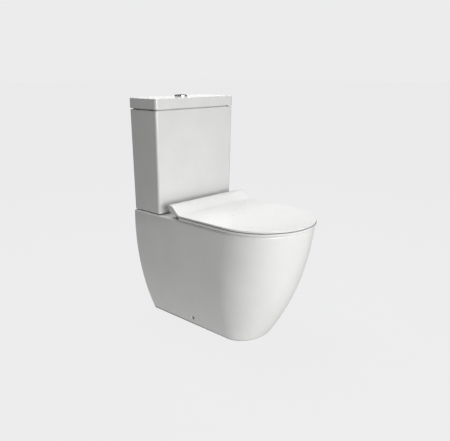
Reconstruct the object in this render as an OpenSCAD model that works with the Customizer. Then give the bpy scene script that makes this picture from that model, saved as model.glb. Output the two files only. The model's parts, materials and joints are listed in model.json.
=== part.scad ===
// Close coupled toilet: a back-to-wall pan with its cistern, slim seat and
// lid, dual flush button, and the valves and fixings inside.
// Millimetres. +X is to the right of someone facing the toilet, -Y is the
// front, +Z is up. The origin is on the floor, midway between wall and tip.

/* [Overall] */
// Distance from the wall to the front tip of the seat
overall_depth = 634; // [520:2:780]
// Floor to the top of the pan
rim_height = 415.5; // [340:0.5:500]
// Pan top to the cistern's upper edge
cistern_height = 357; // [280:1:430]
// Thickness of the china walls
china = 12; // [9:0.5:16]

/* [Pan] */
// Width of the pan at the rim
pan_width = 364; // [330:2:440]
// Width of the foot on the floor
foot_width = 202; // [170:2:320]
// How far the foot stands back from the front of the rim
foot_setback = 161; // [60:1:220]
// Length of the rounded front of the foot
foot_nose = 77.5; // [50:0.5:120]
// How far the pan's rim stands back from the tip of the seat
rim_setback = 4.5; // [0:0.5:15]
// Height below the rim where the sides start to curve in
side_curve_drop = 35.5; // [10:0.5:80]
// Rounding of the pan's upper edge
rim_round = 8; // [2:0.5:9]
// Thickness of the deck that carries the cistern and the seat
deck = 16; // [13:0.5:22]
// Width of the rim between the bowl and the outside
rim_band = 41; // [34:1:55]
// Distance from the wall to the back of the bowl
bowl_rear = 244; // [230:1:300]
// Height of the outlet's centre above the floor
outlet_height = 185; // [170:1:230]
// Outside diameter of the outlet
outlet_d = 102; // [90:1:110]
// Distance from the wall back to the end of the outlet
outlet_recess = 55; // [30:1:70]
// Diameter of each side fixing hole
side_hole_d = 14; // [10:0.5:20]
// Height of the side fixing holes
side_hole_height = 32; // [28:1:60]
// Slope of the side fixing holes, down towards the middle
side_hole_tilt = 3; // [1:0.5:10]
// Distance of the side fixing holes from the wall
side_hole_from_wall = 229; // [180:1:300]

/* [Cistern] */
// Width of the cistern at its base
cistern_width = 360; // [330:1:420]
// Depth of the cistern at its base
cistern_depth = 138.5; // [130:0.5:170]
// How much the width grows from base to top
cistern_flare_w = 13; // [0:0.5:24]
// How much the depth grows from base to top
cistern_flare_d = 5.7; // [0:0.1:12]
// Radius of the cistern's upright corners
cistern_corner = 9; // [5:0.5:20]
// Shadow gap between the pan and the cistern
cistern_gap = 3.5; // [2.5:0.1:6]
// Thickness of the cistern floor
cistern_floor = 14; // [12:0.5:18]

/* [Cistern lid] */
// Height of the cistern lid's edge
lid_height = 35.8; // [28:0.2:50]
// How far the cistern lid stands out past the cistern
lid_overhang = 1.6; // [0.5:0.1:5]
// Shadow gap between the cistern and its lid
lid_gap = 3.5; // [2.5:0.1:6]
// Thickness of the top of the cistern lid
lid_top = 12; // [9:0.5:16]

/* [Flush button] */
// Diameter of the chrome ring
ring_d = 46; // [42:0.5:60]
// Height of the chrome ring above the cistern lid
ring_height = 5.5; // [3:0.5:9]
// Diameter of the push buttons together
button_d = 36.3; // [30:0.1:40]
// Travel of each button
button_travel = 6; // [4:0.5:8]
// Distance from the wall to the centre of the button and the flush valve
valve_from_wall = 62; // [58:0.5:80]

/* [Seat and lid] */
// Width of the seat
seat_width = 368; // [340:2:440]
// Thickness of the seat ring
seat_thick = 7.5; // [6:0.5:14]
// Gap between the pan and the seat
seat_gap = 1.5; // [1.2:0.1:4]
// Width of the hole through the seat
seat_hole_width = 244; // [210:2:280]
// Length of the hole through the seat
seat_hole_length = 290; // [260:2:320]
// Width of the seat ring at its front
seat_front_band = 60; // [50:1:80]
// Thickness of the lid plate
cover_thick = 6; // [5:0.5:10]
// Gap between the seat and the lid
cover_gap = 2.5; // [2:0.1:5]
// Height of the lid's raised back above its flat top
cover_rise = 28; // [22:1:36]
// Length of the ramp up to the raised back
cover_ramp = 47; // [40:1:70]
// Depth of the level shelf behind the ramp
cover_shelf = 11; // [8:0.5:16]
// Distance from the wall to the hinge axis
hinge_from_wall = 203; // [196:1:240]
// Height of the hinge axis above the pan
hinge_height = 28.5; // [26:0.5:34]
// Distance between the two hinges
hinge_spacing = 155; // [140:1:170]
// Diameter of the hinge pins
hinge_pin_d = 8; // [6:0.5:10]

/* [Flush valve] */
// Outside diameter of the threaded shank through the cistern floor
valve_shank_d = 62; // [56:0.5:66]
// Diameter of the valve housing
valve_cage_d = 80; // [76:1:86]
// Height of the overflow tube above the cistern floor
overflow_height = 265; // [200:1:275]
// Diameter of the overflow tube
overflow_d = 28; // [24:1:32]
// Lift of the valve for a full flush
valve_lift = 18; // [12:0.5:22]

/* [Fill valve] */
// Distance of the fill valve from the centre line
fill_offset = 122; // [114:1:126]
// Outside diameter of the inlet thread
inlet_d = 20.9; // [18:0.1:26]
// Height of the fill valve's riser above the cistern floor
riser_height = 227; // [180:1:240]
// Diameter of the float
float_d = 64; // [56:1:68]
// Drop of the float when the cistern empties
float_drop = 12; // [8:0.5:16]

/* [Fixings] */
// Distance between the two coupling bolts
coupling_spacing = 156; // [140:1:164]
// Diameter of the coupling bolts and the hinge studs
bolt_d = 8; // [6:0.5:10]
// Diameter of the holes for the bolts through the china
bolt_hole_d = 14; // [12:0.5:16]
// Running clearance on a radius
fit = 0.05; // [0.02:0.01:0.1]

/* [Hidden] */
$fn = 48;

// Colours
WHITE = "#f2f2f0";
GREY_PLASTIC = "#d8dadb";
STEEL = "#b4b6b8";
CHROME = "#c9ccd0";
RUBBER = "#2c2c2e";
FOAM = "#4a4b4d";
BLUE = "#3d6f9e";

// Main planes
WALL = overall_depth / 2;
TIP = -overall_depth / 2;
RIM = rim_height;
PAN_FRONT = TIP + rim_setback;
VALVE_Y = WALL - valve_from_wall;
HINGE_Y = WALL - hinge_from_wall;
HINGE_Z = RIM + hinge_height;
EPS = 0.5;

// Cistern levels
TANK_Z0 = RIM + cistern_gap;
TANK_Z1 = RIM + cistern_height + cistern_gap;
TANK_IN = TANK_Z0 + cistern_floor;
LID_Z0 = TANK_Z1 + lid_gap;
LID_Z1 = LID_Z0 + lid_height;
LID_IN = LID_Z1 - lid_top;

// ---- outlines -------------------------------------------------------------

// Points along an ellipse's arc, in degrees
function arc(cx, cy, rx, ry, from, to, n) =
    [for (i = [0:n]) let (t = from + (to - from) * i / n)
        [cx + rx * cos(t), cy + ry * sin(t)]];

// Lifts an outline to height z
function at_z(outline, z) = [for (p = outline) [p[0], p[1], z]];

// A D: straight sides from the back line, an elliptical nose at the front
function d_outline(half_w, back, front, nose, n = 32) =
    concat([[half_w, back], [-half_w, back]],
           arc(0, front + nose, half_w, nose, 180, 360, n));

// A rectangle with rounded corners, anticlockwise
function round_box(x0, x1, y0, y1, r, n = 5) =
    concat(arc(x1 - r, y0 + r, r, r, -90, 0, n),
           arc(x1 - r, y1 - r, r, r, 0, 90, n),
           arc(x0 + r, y1 - r, r, r, 90, 180, n),
           arc(x0 + r, y0 + r, r, r, 180, 270, n));

// Skin over outlines of equal length, stacked from the bottom up
module loft(rings) {
    n = len(rings[0]);
    m = len(rings);
    base = [for (i = [0:n-1]) i];
    top = [for (i = [n-1:-1:0]) (m - 1) * n + i];
    sides = [for (k = [0:m-2], i = [0:n-1]) let (j = (i + 1) % n, a = k * n)
        each [[a + i, a + n + i, a + n + j], [a + i, a + n + j, a + j]]];
    polyhedron(points = [for (r = rings) each r],
               faces = concat([base], sides, [top]));
}

// ---- pan ------------------------------------------------------------------

// Half-width of the pan at a height: upright at the top, then one long arc
SIDE_Z = RIM - side_curve_drop;
SIDE_IN = (pan_width - foot_width) / 2;
SIDE_R = (SIDE_Z * SIDE_Z + SIDE_IN * SIDE_IN) / (2 * max(SIDE_IN, 1));
function drop_below(z) = max(SIDE_Z - z, 0);
function pan_half(z) =
    pan_width / 2 - (SIDE_R - sqrt(pow(SIDE_R, 2) - pow(drop_below(z), 2)));

// Front of the pan at a height: it leans back ever faster towards the foot
LEAN_TOP = 1.536 * RIM;
LEAN_POWER = 2.7;
function lean(z) = pow((LEAN_TOP - z) / LEAN_TOP, LEAN_POWER);
function pan_front(z) = PAN_FRONT
    + foot_setback * (lean(z) - lean(RIM)) / (1 - lean(RIM));

// Length of the rounded nose at a height
function pan_nose(z) =
    let (share = (pan_width / 2 - pan_half(z)) / max(SIDE_IN, 1))
    pan_width / 2 + (foot_nose - pan_width / 2) * pow(share, 1.2);

// One level of the pan's skin, taken in by inset on the sides and front
function pan_ring(z, inset, back) =
    at_z(d_outline(pan_half(z) - inset, back, pan_front(z) + inset,
                   pan_nose(z) - inset), z);

LEVELS = 11;
module pan_outer() {
    top = RIM - rim_round;
    loft(concat(
        [for (k = [0:LEVELS]) pan_ring(top * k / LEVELS, 0, WALL)],
        [for (a = [30:30:90])
            let (z = top + rim_round * sin(a))
            at_z(d_outline(pan_half(top) - rim_round * (1 - cos(a)), WALL,
                           pan_front(RIM) + rim_round * (1 - cos(a)),
                           pan_nose(RIM) - rim_round * (1 - cos(a))), z)]));
}

module pan_hollow() {
    top = RIM - deck + EPS;
    levels = LEVELS - 3;
    loft(concat(
        [at_z([for (p = pan_ring(0, china, WALL + EPS)) [p[0], p[1]]], -EPS)],
        [for (k = [1:levels]) pan_ring(top * k / levels, china, WALL + EPS)]));
}

// The bowl narrows from an egg at the rim to a circle over the trap
BOWL_BACK = WALL - bowl_rear;
BOWL_FRONT = PAN_FRONT + rim_band;
BOWL_HALF = pan_width / 2 - rim_band;
BOWL_MID = BOWL_BACK - (BOWL_BACK - BOWL_FRONT) * 0.385;
SUMP_Z = outlet_height - 34.5;
SUMP_R = 44;
SUMP_Y = BOWL_BACK - 70;
BOWL_DEPTH = RIM - SUMP_Z;
BOWL_WALL = china - 2;
BOWL_STEPS = [0, 0.15, 0.3, 0.45, 0.6, 0.74, 0.85, 0.93, 0.98, 1];

function mix(a, b, k) = a + (b - a) * k;
function bowl_ring(t, grow) =
    let (k = pow(1 - pow(t, 2.6), 0.62),
         mid = mix(SUMP_Y, BOWL_MID, k),
         half = mix(SUMP_R, BOWL_HALF, k) + grow,
         front = mix(SUMP_R, BOWL_MID - BOWL_FRONT, k) + grow,
         back = mix(SUMP_R, BOWL_BACK - BOWL_MID, k) + grow,
         z = RIM - (BOWL_DEPTH + grow) * t)
    at_z(concat(arc(0, mid, half, front, 180, 345, 11),
                arc(0, mid, half, back, 0, 165, 11)), z);

module bowl(grow, over) {
    steps = [for (i = [len(BOWL_STEPS)-1:-1:0]) BOWL_STEPS[i]];
    lip = [for (p = bowl_ring(0, grow)) [p[0], p[1], RIM + over]];
    loft(concat([for (t = steps) bowl_ring(t, grow)],
                over > 0 ? [lip] : []));
}

// The trap: down from the sump, round and up, over the weir, then an S bend
// to the outlet. All its bends lie in the plane x = 0.
TRAP_BORE = 36;
TRAP_WALL = 8;
LIMB_Y = BOWL_BACK + 39;
TURN_R = (LIMB_Y - SUMP_Y) / 2;
WEIR_R = TRAP_BORE + TRAP_WALL + 4;
WEIR_RISE = 29;
WEIR_Z = outlet_height + WEIR_RISE - WEIR_R;
S_TURN = acos(1 - WEIR_RISE / (2 * WEIR_R));
S_END = LIMB_Y + WEIR_R + 2 * WEIR_R * sin(S_TURN);
OUTLET_END = WALL - outlet_recess;
OUTLET_BORE = outlet_d / 2 - 10;
OUTLET_LENGTH = 40;

// Points [y, z, direction of the ring's plane] round a bend
function bend(y, z, r, from, to, n, turned = 0) =
    [for (i = [0:n]) let (t = from + (to - from) * i / n)
        [y + r * cos(t), z + r * sin(t), t + turned]];
function after_first(list) = [for (i = [1:len(list)-1]) list[i]];
TRAP_PATH = concat(
    bend(SUMP_Y + TURN_R, SUMP_Z, TURN_R, 180, 360, 9),
    bend(LIMB_Y + WEIR_R, WEIR_Z, WEIR_R, 180, 90 - S_TURN, 7, 180),
    after_first(bend(S_END, outlet_height + WEIR_R, WEIR_R,
                     270 - S_TURN, 270, 3)),
    [[OUTLET_END - 1, outlet_height, 270]]);

module trap(r, n = 16) {
    loft([for (p = TRAP_PATH)
        [for (i = [0:n-1]) let (t = 360 * i / n)
            [r * cos(t), p[0] + r * sin(t) * cos(p[2]),
             p[1] + r * sin(t) * sin(p[2])]]]);
}

// The flush water runs down under the cistern and forward into the bowl
INLET_D = valve_shank_d + 1;
GASKET_D = 110;
GASKET_DEPTH = 11;
CHANNEL_W = 62;
CHANNEL_WALL = 9;
CHANNEL_Z0 = RIM - deck - 46;
CHANNEL_Z1 = RIM - deck - CHANNEL_WALL;
CHANNEL_BACK = VALVE_Y + INLET_D / 2;

module channel(grow, front) {
    translate([-CHANNEL_W / 2 - grow, front, CHANNEL_Z0 - grow])
        cube([CHANNEL_W + 2 * grow, CHANNEL_BACK + grow - front,
              CHANNEL_Z1 - CHANNEL_Z0 + 2 * grow]);
}

INLET_HOLE_D = 46;
module across(d, x0, x1, y, z) {
    translate([x0, y, z]) rotate([0, 90, 0]) cylinder(d = d, h = x1 - x0);
}

// All the space from the underside of the deck upwards
module deck_space() {
    translate([-pan_width, TIP, RIM - deck])
        cube([2 * pan_width, 2 * overall_depth, 2 * deck]);
}

// The skirt up to the deck, with a boss behind each side hole
module pan() {
    boss_in = pan_half(side_hole_height)
        - pan_half(side_hole_height - side_hole_d) + 4;
    color(WHITE) difference() {
        union() {
            difference() {
                pan_outer();
                pan_hollow();
            }
            for (s = [-1, 1])
                side_fixing(s) translate([0, 0, boss_in])
                    cylinder(d = side_hole_d + 18, h = 22);
        }
        deck_space();
        for (s = [-1, 1])
            side_fixing(s) translate([0, 0, -10])
                cylinder(d = side_hole_d, h = 60);
    }
}

// The rim and the deck, with the holes for the bowl and the fittings
module pan_deck() {
    color(WHITE) difference() {
        intersection() {
            pan_outer();
            deck_space();
        }
        bowl(0, EPS);
        at_valve() translate([0, 0, RIM - deck - EPS])
            cylinder(d = INLET_D, h = deck);
        at_valve() translate([0, 0, RIM - GASKET_DEPTH])
            cylinder(d = GASKET_D, h = GASKET_DEPTH + EPS);
        for (s = [-1, 1]) {
            translate([s * coupling_spacing / 2, VALVE_Y, RIM - deck - EPS])
                cylinder(d = bolt_hole_d, h = deck + 2 * EPS);
            translate([s * hinge_spacing / 2, HINGE_Y, RIM - deck - EPS])
                cylinder(d = bolt_hole_d, h = deck + 2 * EPS);
        }
        translate([fill_offset, VALVE_Y, RIM - deck - EPS])
            cylinder(d = INLET_HOLE_D, h = deck + 2 * EPS);
    }
}

// Four walls hung under the deck, from the inlet to the bowl
module pan_channel() {
    color(WHITE) difference() {
        channel(CHANNEL_WALL, BOWL_BACK - 12);
        bowl(BOWL_WALL, 0);
        channel(0, BOWL_BACK - 30);
        at_valve() translate([0, 0, CHANNEL_Z1 - EPS])
            cylinder(d = INLET_D, h = CHANNEL_WALL + 2 * EPS);
    }
}

// Turns +Z into a side hole's axis, from the skin inwards and a little down
module side_fixing(s) {
    translate([s * pan_half(side_hole_height), WALL - side_hole_from_wall,
               side_hole_height])
        rotate([0, -s * (90 + side_hole_tilt), 0]) children();
}

// The bowl hangs from the deck and stands on the trap
module pan_bowl() {
    color(WHITE) difference() {
        bowl(BOWL_WALL, 0);
        bowl(0, EPS);
        trap(TRAP_BORE + TRAP_WALL);
        channel(0, BOWL_BACK - 30);
        deck_space();
    }
}

module pan_trap() {
    color(WHITE) difference() {
        union() {
            trap(TRAP_BORE + TRAP_WALL);
            translate([0, OUTLET_END, outlet_height]) rotate([90, 0, 0])
                cylinder(d = outlet_d, h = OUTLET_LENGTH);
        }
        trap(TRAP_BORE);
        translate([0, OUTLET_END + EPS, outlet_height]) rotate([90, 0, 0])
            cylinder(r = OUTLET_BORE, h = OUTLET_LENGTH - 12);
    }
}

// ---- cistern --------------------------------------------------------------

// One level of the cistern's skin: upright at the wall, flared elsewhere
function tank_ring(z, inset, r) =
    let (k = (z - TANK_Z0) / cistern_height,
         half = (cistern_width + cistern_flare_w * k) / 2 - inset,
         front = WALL - cistern_depth - cistern_flare_d * k + inset)
    at_z(round_box(-half, half, front, WALL - inset, r), z);

FLOOR_HOLE_D = valve_shank_d + 3;
INLET_FLOOR_D = inlet_d + 2.1;

module cistern() {
    soft = 3;
    color(WHITE) difference() {
        loft([
            for (a = [0, 30, 60, 90])
                let (in = soft * (1 - sin(a)))
                at_z([for (p = tank_ring(TANK_Z0, in, cistern_corner - in))
                    [p[0], p[1]]], TANK_Z0 + soft * (1 - cos(a))),
            tank_ring(TANK_Z1, 0, cistern_corner)
        ]);
        loft([
            tank_ring(TANK_IN, china - 1, cistern_corner),
            tank_ring(TANK_Z1 + EPS, china - 1, cistern_corner)
        ]);
        translate([0, VALVE_Y, TANK_Z0 - EPS])
            cylinder(d = FLOOR_HOLE_D, h = cistern_floor + 2 * EPS);
        translate([fill_offset, VALVE_Y, TANK_Z0 - EPS])
            cylinder(d = INLET_FLOOR_D, h = cistern_floor + 2 * EPS);
        for (s = [-1, 1])
            translate([s * coupling_spacing / 2, VALVE_Y, TANK_Z0 - EPS])
                cylinder(d = bolt_hole_d, h = cistern_floor + 2 * EPS);
    }
}

// Where the lid rests: half-way across the cistern's upper edge
PAD_X = (cistern_width + cistern_flare_w) / 2 - (china - 1) / 2;
PAD_FRONT = WALL - cistern_depth - cistern_flare_d + (china - 1) / 2;
PAD_BACK = WALL - (china - 1) / 2;
module lid_pads() {
    color(RUBBER)
    for (s = [-1, 1], y = [PAD_FRONT + 22, PAD_BACK - 22])
        translate([s * PAD_X - 3, y - 8, TANK_Z1]) cube([6, 16, lid_gap]);
}

// ---- cistern lid and button ----------------------------------------------

LID_HALF = (cistern_width + cistern_flare_w) / 2 + lid_overhang;
LID_FRONT = WALL - cistern_depth - cistern_flare_d - lid_overhang;
LID_HOLE_D = button_d + 4.7;

module cistern_lid() {
    soft = 2.5;
    wall = china;
    lip = 8;
    function ring(z, in, r) = at_z(
        round_box(-LID_HALF + in, LID_HALF - in, LID_FRONT + in, WALL - in, r),
        z);
    color(WHITE) difference() {
        union() {
            loft([
                ring(LID_Z0, soft / 2, cistern_corner),
                ring(LID_Z0 + soft / 2, 0, cistern_corner + 1),
                for (a = [0:30:90])
                    ring(LID_Z1 - soft * (1 - sin(a)), soft * (1 - cos(a)),
                         cistern_corner + 1 - soft * (1 - cos(a)))
            ]);
            // the lip drops inside the cistern and keeps the lid in place
            loft([ring(LID_Z0 - lip, wall + lid_overhang + 1.5, 8),
                  ring(LID_Z0 + lip, wall + lid_overhang + 1.5, 8)]);
        }
        loft([ring(LID_Z0 - lip - EPS, 2 * wall - 4, 6), ring(LID_IN, 2 * wall - 4, 6)]);
        translate([0, VALVE_Y, LID_IN - EPS])
            cylinder(d = LID_HOLE_D, h = lid_top + 2 * EPS);
    }
}

RING_BORE = button_d / 2 + fit;
SHANK_R = LID_HOLE_D / 2 - 0.5;
SHANK_LOW = LID_IN - 18;
RING_TOP = LID_Z1 + ring_height;
FULL_X = -9;
HALF_X = 12;
ROD_D = 6;
GUIDE = 3;

module button_ring() {
    soft = 1.2;
    color(CHROME) translate([0, VALVE_Y, 0]) {
        difference() {
            rotate_extrude() polygon(concat(
                [[RING_BORE, SHANK_LOW], [SHANK_R, SHANK_LOW],
                 [SHANK_R, LID_Z1 + 0.6], [ring_d / 2, LID_Z1 + 0.6]],
                arc(ring_d / 2 - soft, RING_TOP - soft, soft, soft, 0, 90, 4),
                [[RING_BORE + 0.6, RING_TOP], [RING_BORE, RING_TOP - 0.6]]));
        }
        difference() {
            translate([0, 0, SHANK_LOW]) cylinder(r = RING_BORE + 0.4, h = GUIDE);
            for (x = [FULL_X, HALF_X])
                translate([x, 0, SHANK_LOW - EPS])
                    cylinder(d = ROD_D + 2 * fit, h = GUIDE + 2 * EPS);
        }
    }
}

module ring_seal() {
    color(RUBBER) translate([0, VALVE_Y, LID_Z1]) difference() {
        cylinder(d = ring_d - 0.8, h = 0.6);
        translate([0, 0, -EPS]) cylinder(r = SHANK_R + fit, h = 0.6 + 2 * EPS);
    }
}

module ring_nut() {
    color(GREY_PLASTIC) translate([0, VALVE_Y, LID_IN - 8]) difference() {
        union() {
            cylinder(d = LID_HOLE_D + 12, h = 8, $fn = 8);
            translate([0, 0, 6]) cylinder(d = LID_HOLE_D + 16, h = 2);
        }
        translate([0, 0, -EPS]) cylinder(r = SHANK_R + fit, h = 8 + 2 * EPS);
    }
}

// The buttons share one disc, split a little right of its centre
SPLIT_X = 5.4;
SPLIT_GAP = 0.6;
BUTTON_Z0 = LID_Z1 - 5;
BUTTON_Z1 = RING_TOP - 1;

module button_part(side) {
    x0 = side < 0 ? -button_d : SPLIT_X + SPLIT_GAP / 2;
    x1 = side < 0 ? SPLIT_X - SPLIT_GAP / 2 : button_d;
    translate([0, VALVE_Y, 0]) intersection() {
        translate([0, 0, BUTTON_Z0])
            cylinder(d = button_d, h = BUTTON_Z1 - BUTTON_Z0);
        translate([x0, -button_d, BUTTON_Z0])
            cube([x1 - x0, 2 * button_d, button_d]);
    }
}
module full_flush_button() { color(CHROME) button_part(-1); }
module half_flush_button() { color(CHROME) button_part(1); }

PLUNGER_TOP = TANK_Z1 - 28;
module push_rod(x) {
    low = PLUNGER_TOP + 0.5;
    translate([x, VALVE_Y, low]) cylinder(d = ROD_D, h = BUTTON_Z0 - low);
    translate([x, VALVE_Y, low + 4]) cylinder(d = ROD_D + 3, h = 5, $fn = 6);
}
module full_flush_rod() { color(GREY_PLASTIC) push_rod(FULL_X); }
module half_flush_rod() { color(GREY_PLASTIC) push_rod(HALF_X); }

// ---- flush valve ----------------------------------------------------------

SEAL_T = 3;
FLANGE_Z = TANK_IN + SEAL_T;
FLANGE_T = 6;
SEAT_Z = FLANGE_Z + FLANGE_T;
SHANK_END = RIM - deck;
VALVE_BORE = valve_shank_d / 2 - 5;
CAGE_WALL = 3;
CAGE_TOP = SEAT_Z + 118;
HEAD_T = 5;
CAP_T = 3;
HEAD_Z = PLUNGER_TOP - CAP_T - button_travel - HEAD_T - 1;
PLUNGER_LOW = HEAD_Z - 6;

module at_valve() { translate([0, VALVE_Y, 0]) children(); }

module flush_valve_base() {
    color(GREY_PLASTIC) at_valve() rotate_extrude() polygon([
        [VALVE_BORE, SHANK_END], [valve_shank_d / 2, SHANK_END],
        [valve_shank_d / 2, FLANGE_Z], [valve_cage_d / 2 + 4, FLANGE_Z],
        [valve_cage_d / 2 + 4, SEAT_Z], [VALVE_BORE + 2, SEAT_Z],
        [VALVE_BORE + 2, SEAT_Z + 3], [VALVE_BORE, SEAT_Z + 3]]);
}

module flush_valve_washer() {
    color(RUBBER) at_valve() translate([0, 0, TANK_IN]) difference() {
        cylinder(d = valve_cage_d + 6, h = SEAL_T);
        translate([0, 0, -EPS])
            cylinder(d = valve_shank_d + 2 * fit, h = SEAL_T + 2 * EPS);
    }
}

PLATE_T = 2;
PLATE_Z = TANK_Z0 - PLATE_T;
NUT_T = 9;
NUT_D = valve_shank_d + 14;
module flush_valve_backnut() {
    color(GREY_PLASTIC) at_valve() translate([0, 0, PLATE_Z - NUT_T])
    difference() {
        cylinder(d = NUT_D, h = NUT_T, $fn = 8);
        translate([0, 0, -EPS])
            cylinder(d = valve_shank_d + 2 * fit, h = NUT_T + 2 * EPS);
    }
}

// Housing with four windows, two rails and the head that the plungers run in
module flush_valve_cage() {
    outer = valve_cage_d / 2;
    inner = outer - CAGE_WALL;
    color(WHITE) at_valve() {
        difference() {
            translate([0, 0, SEAT_Z]) cylinder(r = outer, h = CAGE_TOP - SEAT_Z);
            translate([0, 0, SEAT_Z - EPS])
                cylinder(r = inner, h = CAGE_TOP - SEAT_Z - 3);
            translate([0, 0, CAGE_TOP - 5])
                cylinder(d = overflow_d + 2 * fit, h = 10);
            for (a = [0, 90])
                rotate(a + 45) translate([-outer - 5, -14, SEAT_Z + 6])
                    cube([2 * outer + 10, 28, 42]);
        }
        for (s = [-1, 1])
            translate([s * (outer - 8) - 4, -9, CAGE_TOP])
                cube([8, 18, HEAD_Z - CAGE_TOP]);
        difference() {
            translate([0, 0, HEAD_Z]) cylinder(r = outer - 2, h = HEAD_T);
            for (x = [FULL_X, HALF_X])
                translate([x, 0, HEAD_Z - EPS])
                    cylinder(d = ROD_D + 2 + 2 * fit, h = HEAD_T + 2 * EPS);
        }
    }
}

module plunger(x) {
    translate([x, VALVE_Y, PLUNGER_LOW])
        cylinder(d = ROD_D + 2, h = PLUNGER_TOP - CAP_T - PLUNGER_LOW);
    translate([x, VALVE_Y, PLUNGER_TOP - CAP_T]) cylinder(d = 14, h = CAP_T);
}
module full_flush_plunger() { color(BLUE) plunger(FULL_X); }
module half_flush_plunger() { color(BLUE) plunger(HALF_X); }

// The overflow tube carries the seal and lifts off its seat for a flush
SEAL_Z = SEAT_Z + 3;
module overflow_tube() {
    bore = overflow_d / 2 - 2.5;
    top = TANK_IN + overflow_height;
    color(GREY_PLASTIC) at_valve() rotate_extrude() polygon([
        [bore, SEAL_Z], [overflow_d / 2, SEAL_Z],
        [overflow_d / 2, SEAL_Z + SEAL_T], [VALVE_BORE + 3, SEAL_Z + SEAL_T],
        [VALVE_BORE + 3, SEAL_Z + SEAL_T + 4], [overflow_d / 2, SEAL_Z + 14],
        [overflow_d / 2, top], [bore, top]]);
}

module flush_valve_seal() {
    color(RUBBER) at_valve() translate([0, 0, SEAL_Z]) difference() {
        cylinder(r = VALVE_BORE + 4, h = SEAL_T);
        translate([0, 0, -EPS])
            cylinder(d = overflow_d + 2 * fit, h = SEAL_T + 2 * EPS);
    }
}

// ---- coupling -------------------------------------------------------------

module coupling_plate() {
    half = coupling_spacing / 2 + 16;
    color(STEEL) translate([0, 0, PLATE_Z]) linear_extrude(PLATE_T)
    difference() {
        union() {
            translate([-half, VALVE_Y - 16]) square([2 * half, 32]);
            translate([0, VALVE_Y]) circle(d = valve_shank_d + 24);
        }
        translate([0, VALVE_Y]) circle(d = valve_shank_d + 1);
        for (s = [-1, 1])
            translate([s * coupling_spacing / 2, VALVE_Y])
                circle(d = bolt_d + 1);
    }
}

module coupling_gasket() {
    low = RIM - GASKET_DEPTH;
    color(FOAM) at_valve() translate([0, 0, low]) difference() {
        cylinder(d = GASKET_D - 2, h = PLATE_Z - low);
        translate([0, 0, -EPS]) cylinder(d = NUT_D + 2, h = PLATE_Z - low + 2 * EPS);
    }
}

module at_bolts() {
    for (s = [-1, 1]) translate([s * coupling_spacing / 2, VALVE_Y, 0])
        children();
}

BOLT_SEAL_T = 5;
WASHER_T = 2;
UNDER_DECK = RIM - deck;
module coupling_bolts() {
    head_z = TANK_IN + BOLT_SEAL_T;
    color(STEEL) at_bolts() {
        translate([0, 0, UNDER_DECK - 26])
            cylinder(d = bolt_d, h = head_z - UNDER_DECK + 26);
        translate([0, 0, head_z]) cylinder(d = 20, h = 4);
    }
}

// A tapered seal: wide under the head, its nose in the hole
module cone_seal(t) {
    rotate_extrude() polygon([
        [bolt_d / 2 + fit, -4], [bolt_hole_d / 2 - 1, -4],
        [bolt_hole_d / 2 - 0.5, 0], [12, 0], [10.5, t],
        [bolt_d / 2 + fit, t]]);
}
module coupling_bolt_seals() {
    color(RUBBER) at_bolts() translate([0, 0, TANK_IN]) cone_seal(BOLT_SEAL_T);
}

module flat_washer(d, t) {
    difference() {
        cylinder(d = d, h = t);
        translate([0, 0, -EPS]) cylinder(d = bolt_d + 2 * fit, h = t + 2 * EPS);
    }
}
module coupling_washers() {
    color(STEEL) at_bolts() translate([0, 0, UNDER_DECK - WASHER_T])
        flat_washer(24, WASHER_T);
}

module wing_nut(t) {
    difference() {
        union() {
            cylinder(d = bolt_d + 7, h = t);
            translate([-15, -1.6, 0]) cube([30, 3.2, t]);
        }
        translate([0, 0, -EPS]) cylinder(d = bolt_d + 2 * fit, h = t + 2 * EPS);
    }
}
module coupling_wing_nuts() {
    color(STEEL) at_bolts() translate([0, 0, UNDER_DECK - WASHER_T - 11])
        wing_nut(11);
}

// ---- fill valve -----------------------------------------------------------

module at_fill() { translate([fill_offset, VALVE_Y, 0]) children(); }

RISER_D = 26;
RISER_BORE = 12;
TAIL = 45;
FILL_FLANGE_Z = TANK_IN + SEAL_T;
RISER_TOP = TANK_IN + riser_height;
module fill_valve_riser() {
    color(GREY_PLASTIC) at_fill() rotate_extrude() polygon([
        [RISER_BORE / 2, TANK_Z0 - TAIL], [inlet_d / 2, TANK_Z0 - TAIL],
        [inlet_d / 2, FILL_FLANGE_Z], [20, FILL_FLANGE_Z],
        [20, FILL_FLANGE_Z + 5], [RISER_D / 2, FILL_FLANGE_Z + 5],
        [RISER_D / 2, RISER_TOP], [RISER_BORE / 2, RISER_TOP]]);
}

module fill_valve_washer() {
    color(RUBBER) at_fill() translate([0, 0, TANK_IN]) difference() {
        cylinder(d = 38, h = SEAL_T);
        translate([0, 0, -EPS])
            cylinder(d = inlet_d + 2 * fit, h = SEAL_T + 2 * EPS);
    }
}

module fill_valve_backnut() {
    color(GREY_PLASTIC) at_fill() translate([0, 0, TANK_Z0 - 8]) difference() {
        cylinder(d = INLET_HOLE_D - 10, h = 8, $fn = 6);
        translate([0, 0, -EPS])
            cylinder(d = inlet_d + 2 * fit, h = 8 + 2 * EPS);
    }
}

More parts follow.
